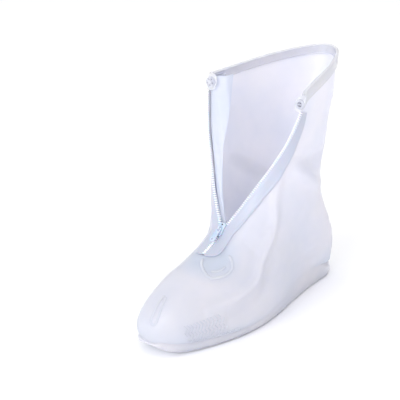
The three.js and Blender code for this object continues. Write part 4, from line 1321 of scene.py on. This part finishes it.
def joinMeshes(name, meshes, matrix, material):
    shape = bmesh.new()
    for mesh in meshes:
        shape.from_mesh(mesh)
    bmesh.ops.remove_doubles(shape, verts=shape.verts, dist=0.000002)
    bmesh.ops.recalc_face_normals(shape, faces=shape.faces)
    joined = bpy.data.meshes.new(name)
    shape.to_mesh(joined)
    shape.free()
    joined.transform(matrix)
    joined.materials.clear()
    joined.materials.append(material)
    for polygon in joined.polygons:
        polygon.material_index = 0
    shadeSmooth(joined, 35)
    return addObject(name, joined)


def makeSlider(matrix):
    length, width = slider["length"], slider["width"]
    top = plateMesh([roundedPlate(width, length, 0.0026, 0.0006)], plateLow, plateHigh, 0.00035)
    keel = plateMesh([roundedPlate(slider["keelWidth"], slider["keelLength"], 0.0015)],
                     keelHigh - slider["keelThickness"], keelHigh, 0.00025,
                     up=-slider["keelDrop"])
    post = plateMesh([roundedPlate(slider["postWidth"], 0.0075, 0.0006)],
                     keelHigh - 0.0003, plateLow + 0.0005, 0.0001)
    rails = [plateMesh([roundedPlate(0.0010, length * 0.62, 0.00045)], plateLow - 0.0005,
                       plateLow + 0.0003, 0.00012, sign * (width / 2 - 0.0011), -0.0004)
             for sign in (-1, 1)]       # low side rails that turn towards the teeth
    drop = bridgeInner + 0.0004
    left, right = [[(sign * r, -drop) for r in radii] for sign, radii in (
        (-1, (bridgeOuter, bridgeInner)), (1, (bridgeInner, bridgeOuter)))]
    loop = (arc(0, 0, bridgeOuter, 0, math.pi, 20) + left
            + arc(0, 0, bridgeInner, math.pi, 0, 20) + right)
    half = slider["bridgeWidth"] / 2
    bridge = plateMesh([loop], -half, half, 0.0003)
    turn = Matrix.Rotation(math.pi / 2, 4, "Z") @ Matrix.Rotation(math.pi / 2, 4, "X")
    bridge.transform(Matrix.Translation((0, 0, axisHeight)) @ turn)
    return joinMeshes("zipSlider", [top, keel, post, bridge, *rails], matrix, sliderPlastic)


def makePull(matrix):
    bar, end = slider["pullThickness"] / 2, slider["pullWidth"] / 2
    neck, tip = slider["pullNeck"] / 2, slider["pullLength"] - bar - end
    outline = [(-neck, -bar), (neck, -bar)] + arc(0, tip, end, 0, math.pi, 24)
    half = slider["bridgeWidth"] / 2 + upper["gap"]
    window = [(-half, bar), (-half, bridgeOuter + upper["gap"]),
              (half, bridgeOuter + upper["gap"]), (half, bar)]
    eye = arc(0, tip, slider["pullHole"], 2 * math.pi, 0, 16)[:-1]
    plate = plateMesh([outline, window, eye], -bar, bar, 0.0003)
    grips = [plateMesh([roundedPlate(0.0034, 0.0006, 0.00028)], bar - 0.0002, bar + 0.0002,
                       0.0001, up=tip - 0.0024 - i * 0.0013)
             for i in range(4)]         # low ribs for the fingers
    local = (Matrix.Translation((0, 0, axisHeight))
             @ Matrix.Rotation(math.radians(-slider["pullTilt"]), 4, "X")
             @ Matrix.Rotation(math.pi, 4, "Z"))
    return joinMeshes("zipPull", [plate, *grips], matrix @ local, sliderPlastic)


# A turned shape from its outline of radius and height, in shares of a real radius and height
def lathe(name, outline, radius, height, turns, matrix, material, sharp):
    rings = [[(x, y, h * height) for x, y in circle(r * radius, turns)]
             for r, h in outline if r > 0]
    vertices = [v for ring in rings for v in ring]
    vertices += [(0, 0, outline[0][1] * height), (0, 0, outline[-1][1] * height)]
    last = (len(rings) - 1) * turns
    nextOne = [(j + 1) % turns for j in range(turns)]
    faces = [(i + j, i + k, i + turns + k, i + turns + j)
             for i in range(0, last, turns) for j, k in enumerate(nextOne)]
    for j, k in enumerate(nextOne):
        faces.append((len(vertices) - 2, k, j))
        faces.append((len(vertices) - 1, last + j, last + k))
    placed = [matrix @ Vector(v) for v in vertices]
    return meshObject(name, placed, faces, material, sharp)


# The slider's rivet: a dark steel pin on the plate, its darkness painted shade for the dark gap
# under the pull's bridge
rivet = {
    "radius": 0.00095, "height": 0.00035, "upZip": 0.0052, "turns": 20,
    "outline": [(0.0, -0.2), (1.0, -0.2), (1.0, 0.5), (0.75, 0.85), (0.35, 1.0), (0.0, 1.0)],
}
zipFrame = sliderMatrix()
ride(makeSlider(zipFrame), "zip_slider")
crown = zipFrame @ Matrix.Translation((0, rivet["upZip"], plateHigh))
ride(lathe("sliderRivet", rivet["outline"], rivet["radius"], rivet["height"], rivet["turns"],
           crown, shadeAndGlintSteel, 40))
ride(makePull(zipFrame), "zip_pull", body="pull")
print("slider made")

# Press snap: a stud on the medial tab and a socket on the lateral one, each on its own base disc
snap = {"radius": 0.005, "height": 0.0024, "inset": 0.0062, "turns": 40}
snapOutlines = {
    "stud": [(0.00, 0.00), (0.96, 0.00), (1.00, 0.06), (1.00, 0.40), (0.95, 0.50), (0.80, 0.52),
             (0.74, 0.46), (0.50, 0.44), (0.42, 0.50), (0.36, 0.62), (0.37, 0.72), (0.41, 0.82),
             (0.38, 0.94), (0.30, 1.00), (0.00, 1.00)],
    "socket": [(0.00, 0.00), (0.96, 0.00), (1.00, 0.06), (1.00, 0.40), (0.96, 0.58), (0.88, 0.76),
               (0.80, 0.82), (0.60, 0.82), (0.54, 0.78), (0.46, 0.62), (0.44, 0.38), (0.40, 0.34),
               (0.16, 0.34), (0.10, 0.42), (0.00, 0.44)],
}


def snapFrame(side):
    place = placeFrom(side, 1.0, -zipLook["tabHeight"] / 2)
    tangent = beyondTangent(side, place)
    edgeTop, edgeLow = pointsAt(side, 1.0, [0.0])[0], pointsAt(side, zipTop[side], [0.0])[0]
    out = unit(np.cross(edgeTop - edgeLow, tangent) * sideSign[side])
    seat = wallPoints(side, place, [0.0], upper["gap"] + hem["thickness"])[0]
    seat = seat + out * upper["gap"] + tangent * (hem["tabReach"] - snap["inset"])
    upright = np.cross(tangent, out)
    matrix = Matrix((tangent, upright, out)).transposed().to_4x4()
    matrix.translation = Vector(seat)
    return matrix


# Dark wires held in the snap: the socket's two springs and the stud's bent prongs, whose dark
# steel also paints the dark glints of the clear snap (painted reflections)
def snapWires(name, paths, matrix):
    shape = bmesh.new()
    for path in paths:
        line = np.array(path)
        up = np.tile([0.0, 0.0, 1.0], (len(line), 1))
        wire = beadObject("wire", line, up, shadeAndGlintSteel, 0.00055, 0.00055, sink=0.5, turns=8)
        shape.from_mesh(wire.data)
        bpy.data.objects.remove(wire)
    joined = bpy.data.meshes.new(name)
    shape.to_mesh(joined)
    shape.free()
    joined.transform(matrix)
    joined.materials.append(shadeAndGlintSteel)
    shadeSmooth(joined)
    return addObject(name, joined)


r, h = snap["radius"], snap["height"]
studFrame, socketFrame = snapFrame("medial"), snapFrame("lateral")
for half, place in (("stud", studFrame), ("socket", socketFrame)):
    ride(lathe("snap" + half.capitalize(), snapOutlines[half], r, h, snap["turns"], place,
               snapPlastic, 35), "snap_" + half)
# Prongs and springs: their dark steel stands in for the dark glints of the clear snap, a painted
# reflection
turnTo = np.linspace(0.3, 0.3 + 2 * math.pi, 6)[:-1]
prongs = [[(r * t * math.cos(a), r * t * math.sin(a), h * (0.52 - 0.06 * t))
           for t in np.linspace(0.50, 0.84, 5)] for a in turnTo]
ride(snapWires("snapProngs", prongs, studFrame))
springs = [[(r * x, r * s * (0.20 + 0.10 * math.cos(x * 3)), h * 0.62)
            for x in np.linspace(-0.52, 0.52, 12)] for s in (-1, 1)]
ride(snapWires("snapSprings", springs, socketFrame))
print("snaps made")

# Floor, light and camera
room = {
    "floor": (0.97, 0.97, 0.98), "world": 1.00,
    "lights": [     # name, place, aimed at, power, size, colour
        ("key", (0.3, -2.7, 1.1), (0, 0, 0.06), 40.0, 1.8, (1, 1, 1)),
        ("fill", (1.6, -0.5, 0.35), (0, 0, 0.10), 2.4, 1.2, (0.95, 0.97, 1.0)),
        ("back", (0.2, 1.3, 1.1), (0, 0, 0.12), 0.4, 1.0, (0.97, 0.98, 1.0)),
    ],
}
view = {
    "azimuth": 37.6, "elevation": 19.5, "reach": 1.0, "target": (0, 0.0085, 0.120),
    "lens": 86.4, "sensor": 36, "shift": (-45 / 400, -2 / 400),
}
floorMesh = bpy.data.meshes.new("floor")
floorMesh.from_pydata([(-4, -4, 0), (4, -4, 0), (4, 4, 0), (-4, 4, 0)], [], [(0, 1, 2, 3)])
floor = addObject("floor", floorMesh)
floorMesh.materials.append(newMaterial("palePaper", {
    "Base Color": (*room["floor"], 1), "Roughness": 0.9})[0])

bpy.context.scene.view_settings.view_transform = "Standard"
world = bpy.data.worlds.new("studio")
bpy.context.scene.world = world
world.use_nodes = True
world.node_tree.nodes["Background"].inputs["Color"].default_value = (1.0, 1.0, 1.0, 1)
world.node_tree.nodes["Background"].inputs["Strength"].default_value = room["world"]


def aim(made, place, target):
    made.location = place
    made.rotation_euler = (Vector(target) - Vector(place)).to_track_quat("-Z", "Y").to_euler()


for name, place, target, power, size, colour in room["lights"]:
    data = bpy.data.lights.new(name, "AREA")
    data.energy = power
    data.size = size
    data.color = colour
    aim(addObject(name, data), place, target)

azimuth, elevation = math.radians(view["azimuth"]), math.radians(view["elevation"])
away = Vector((math.sin(azimuth) * math.cos(elevation), -math.cos(azimuth) * math.cos(elevation),
               math.sin(elevation)))
lens = bpy.data.cameras.new("camera")
lens.lens, lens.sensor_width = view["lens"], view["sensor"]
lens.shift_x, lens.shift_y = view["shift"]
camera = addObject("camera", lens)
aim(camera, Vector(view["target"]) + view["reach"] * away, view["target"])
bpy.context.scene.camera = camera

print("scene done")
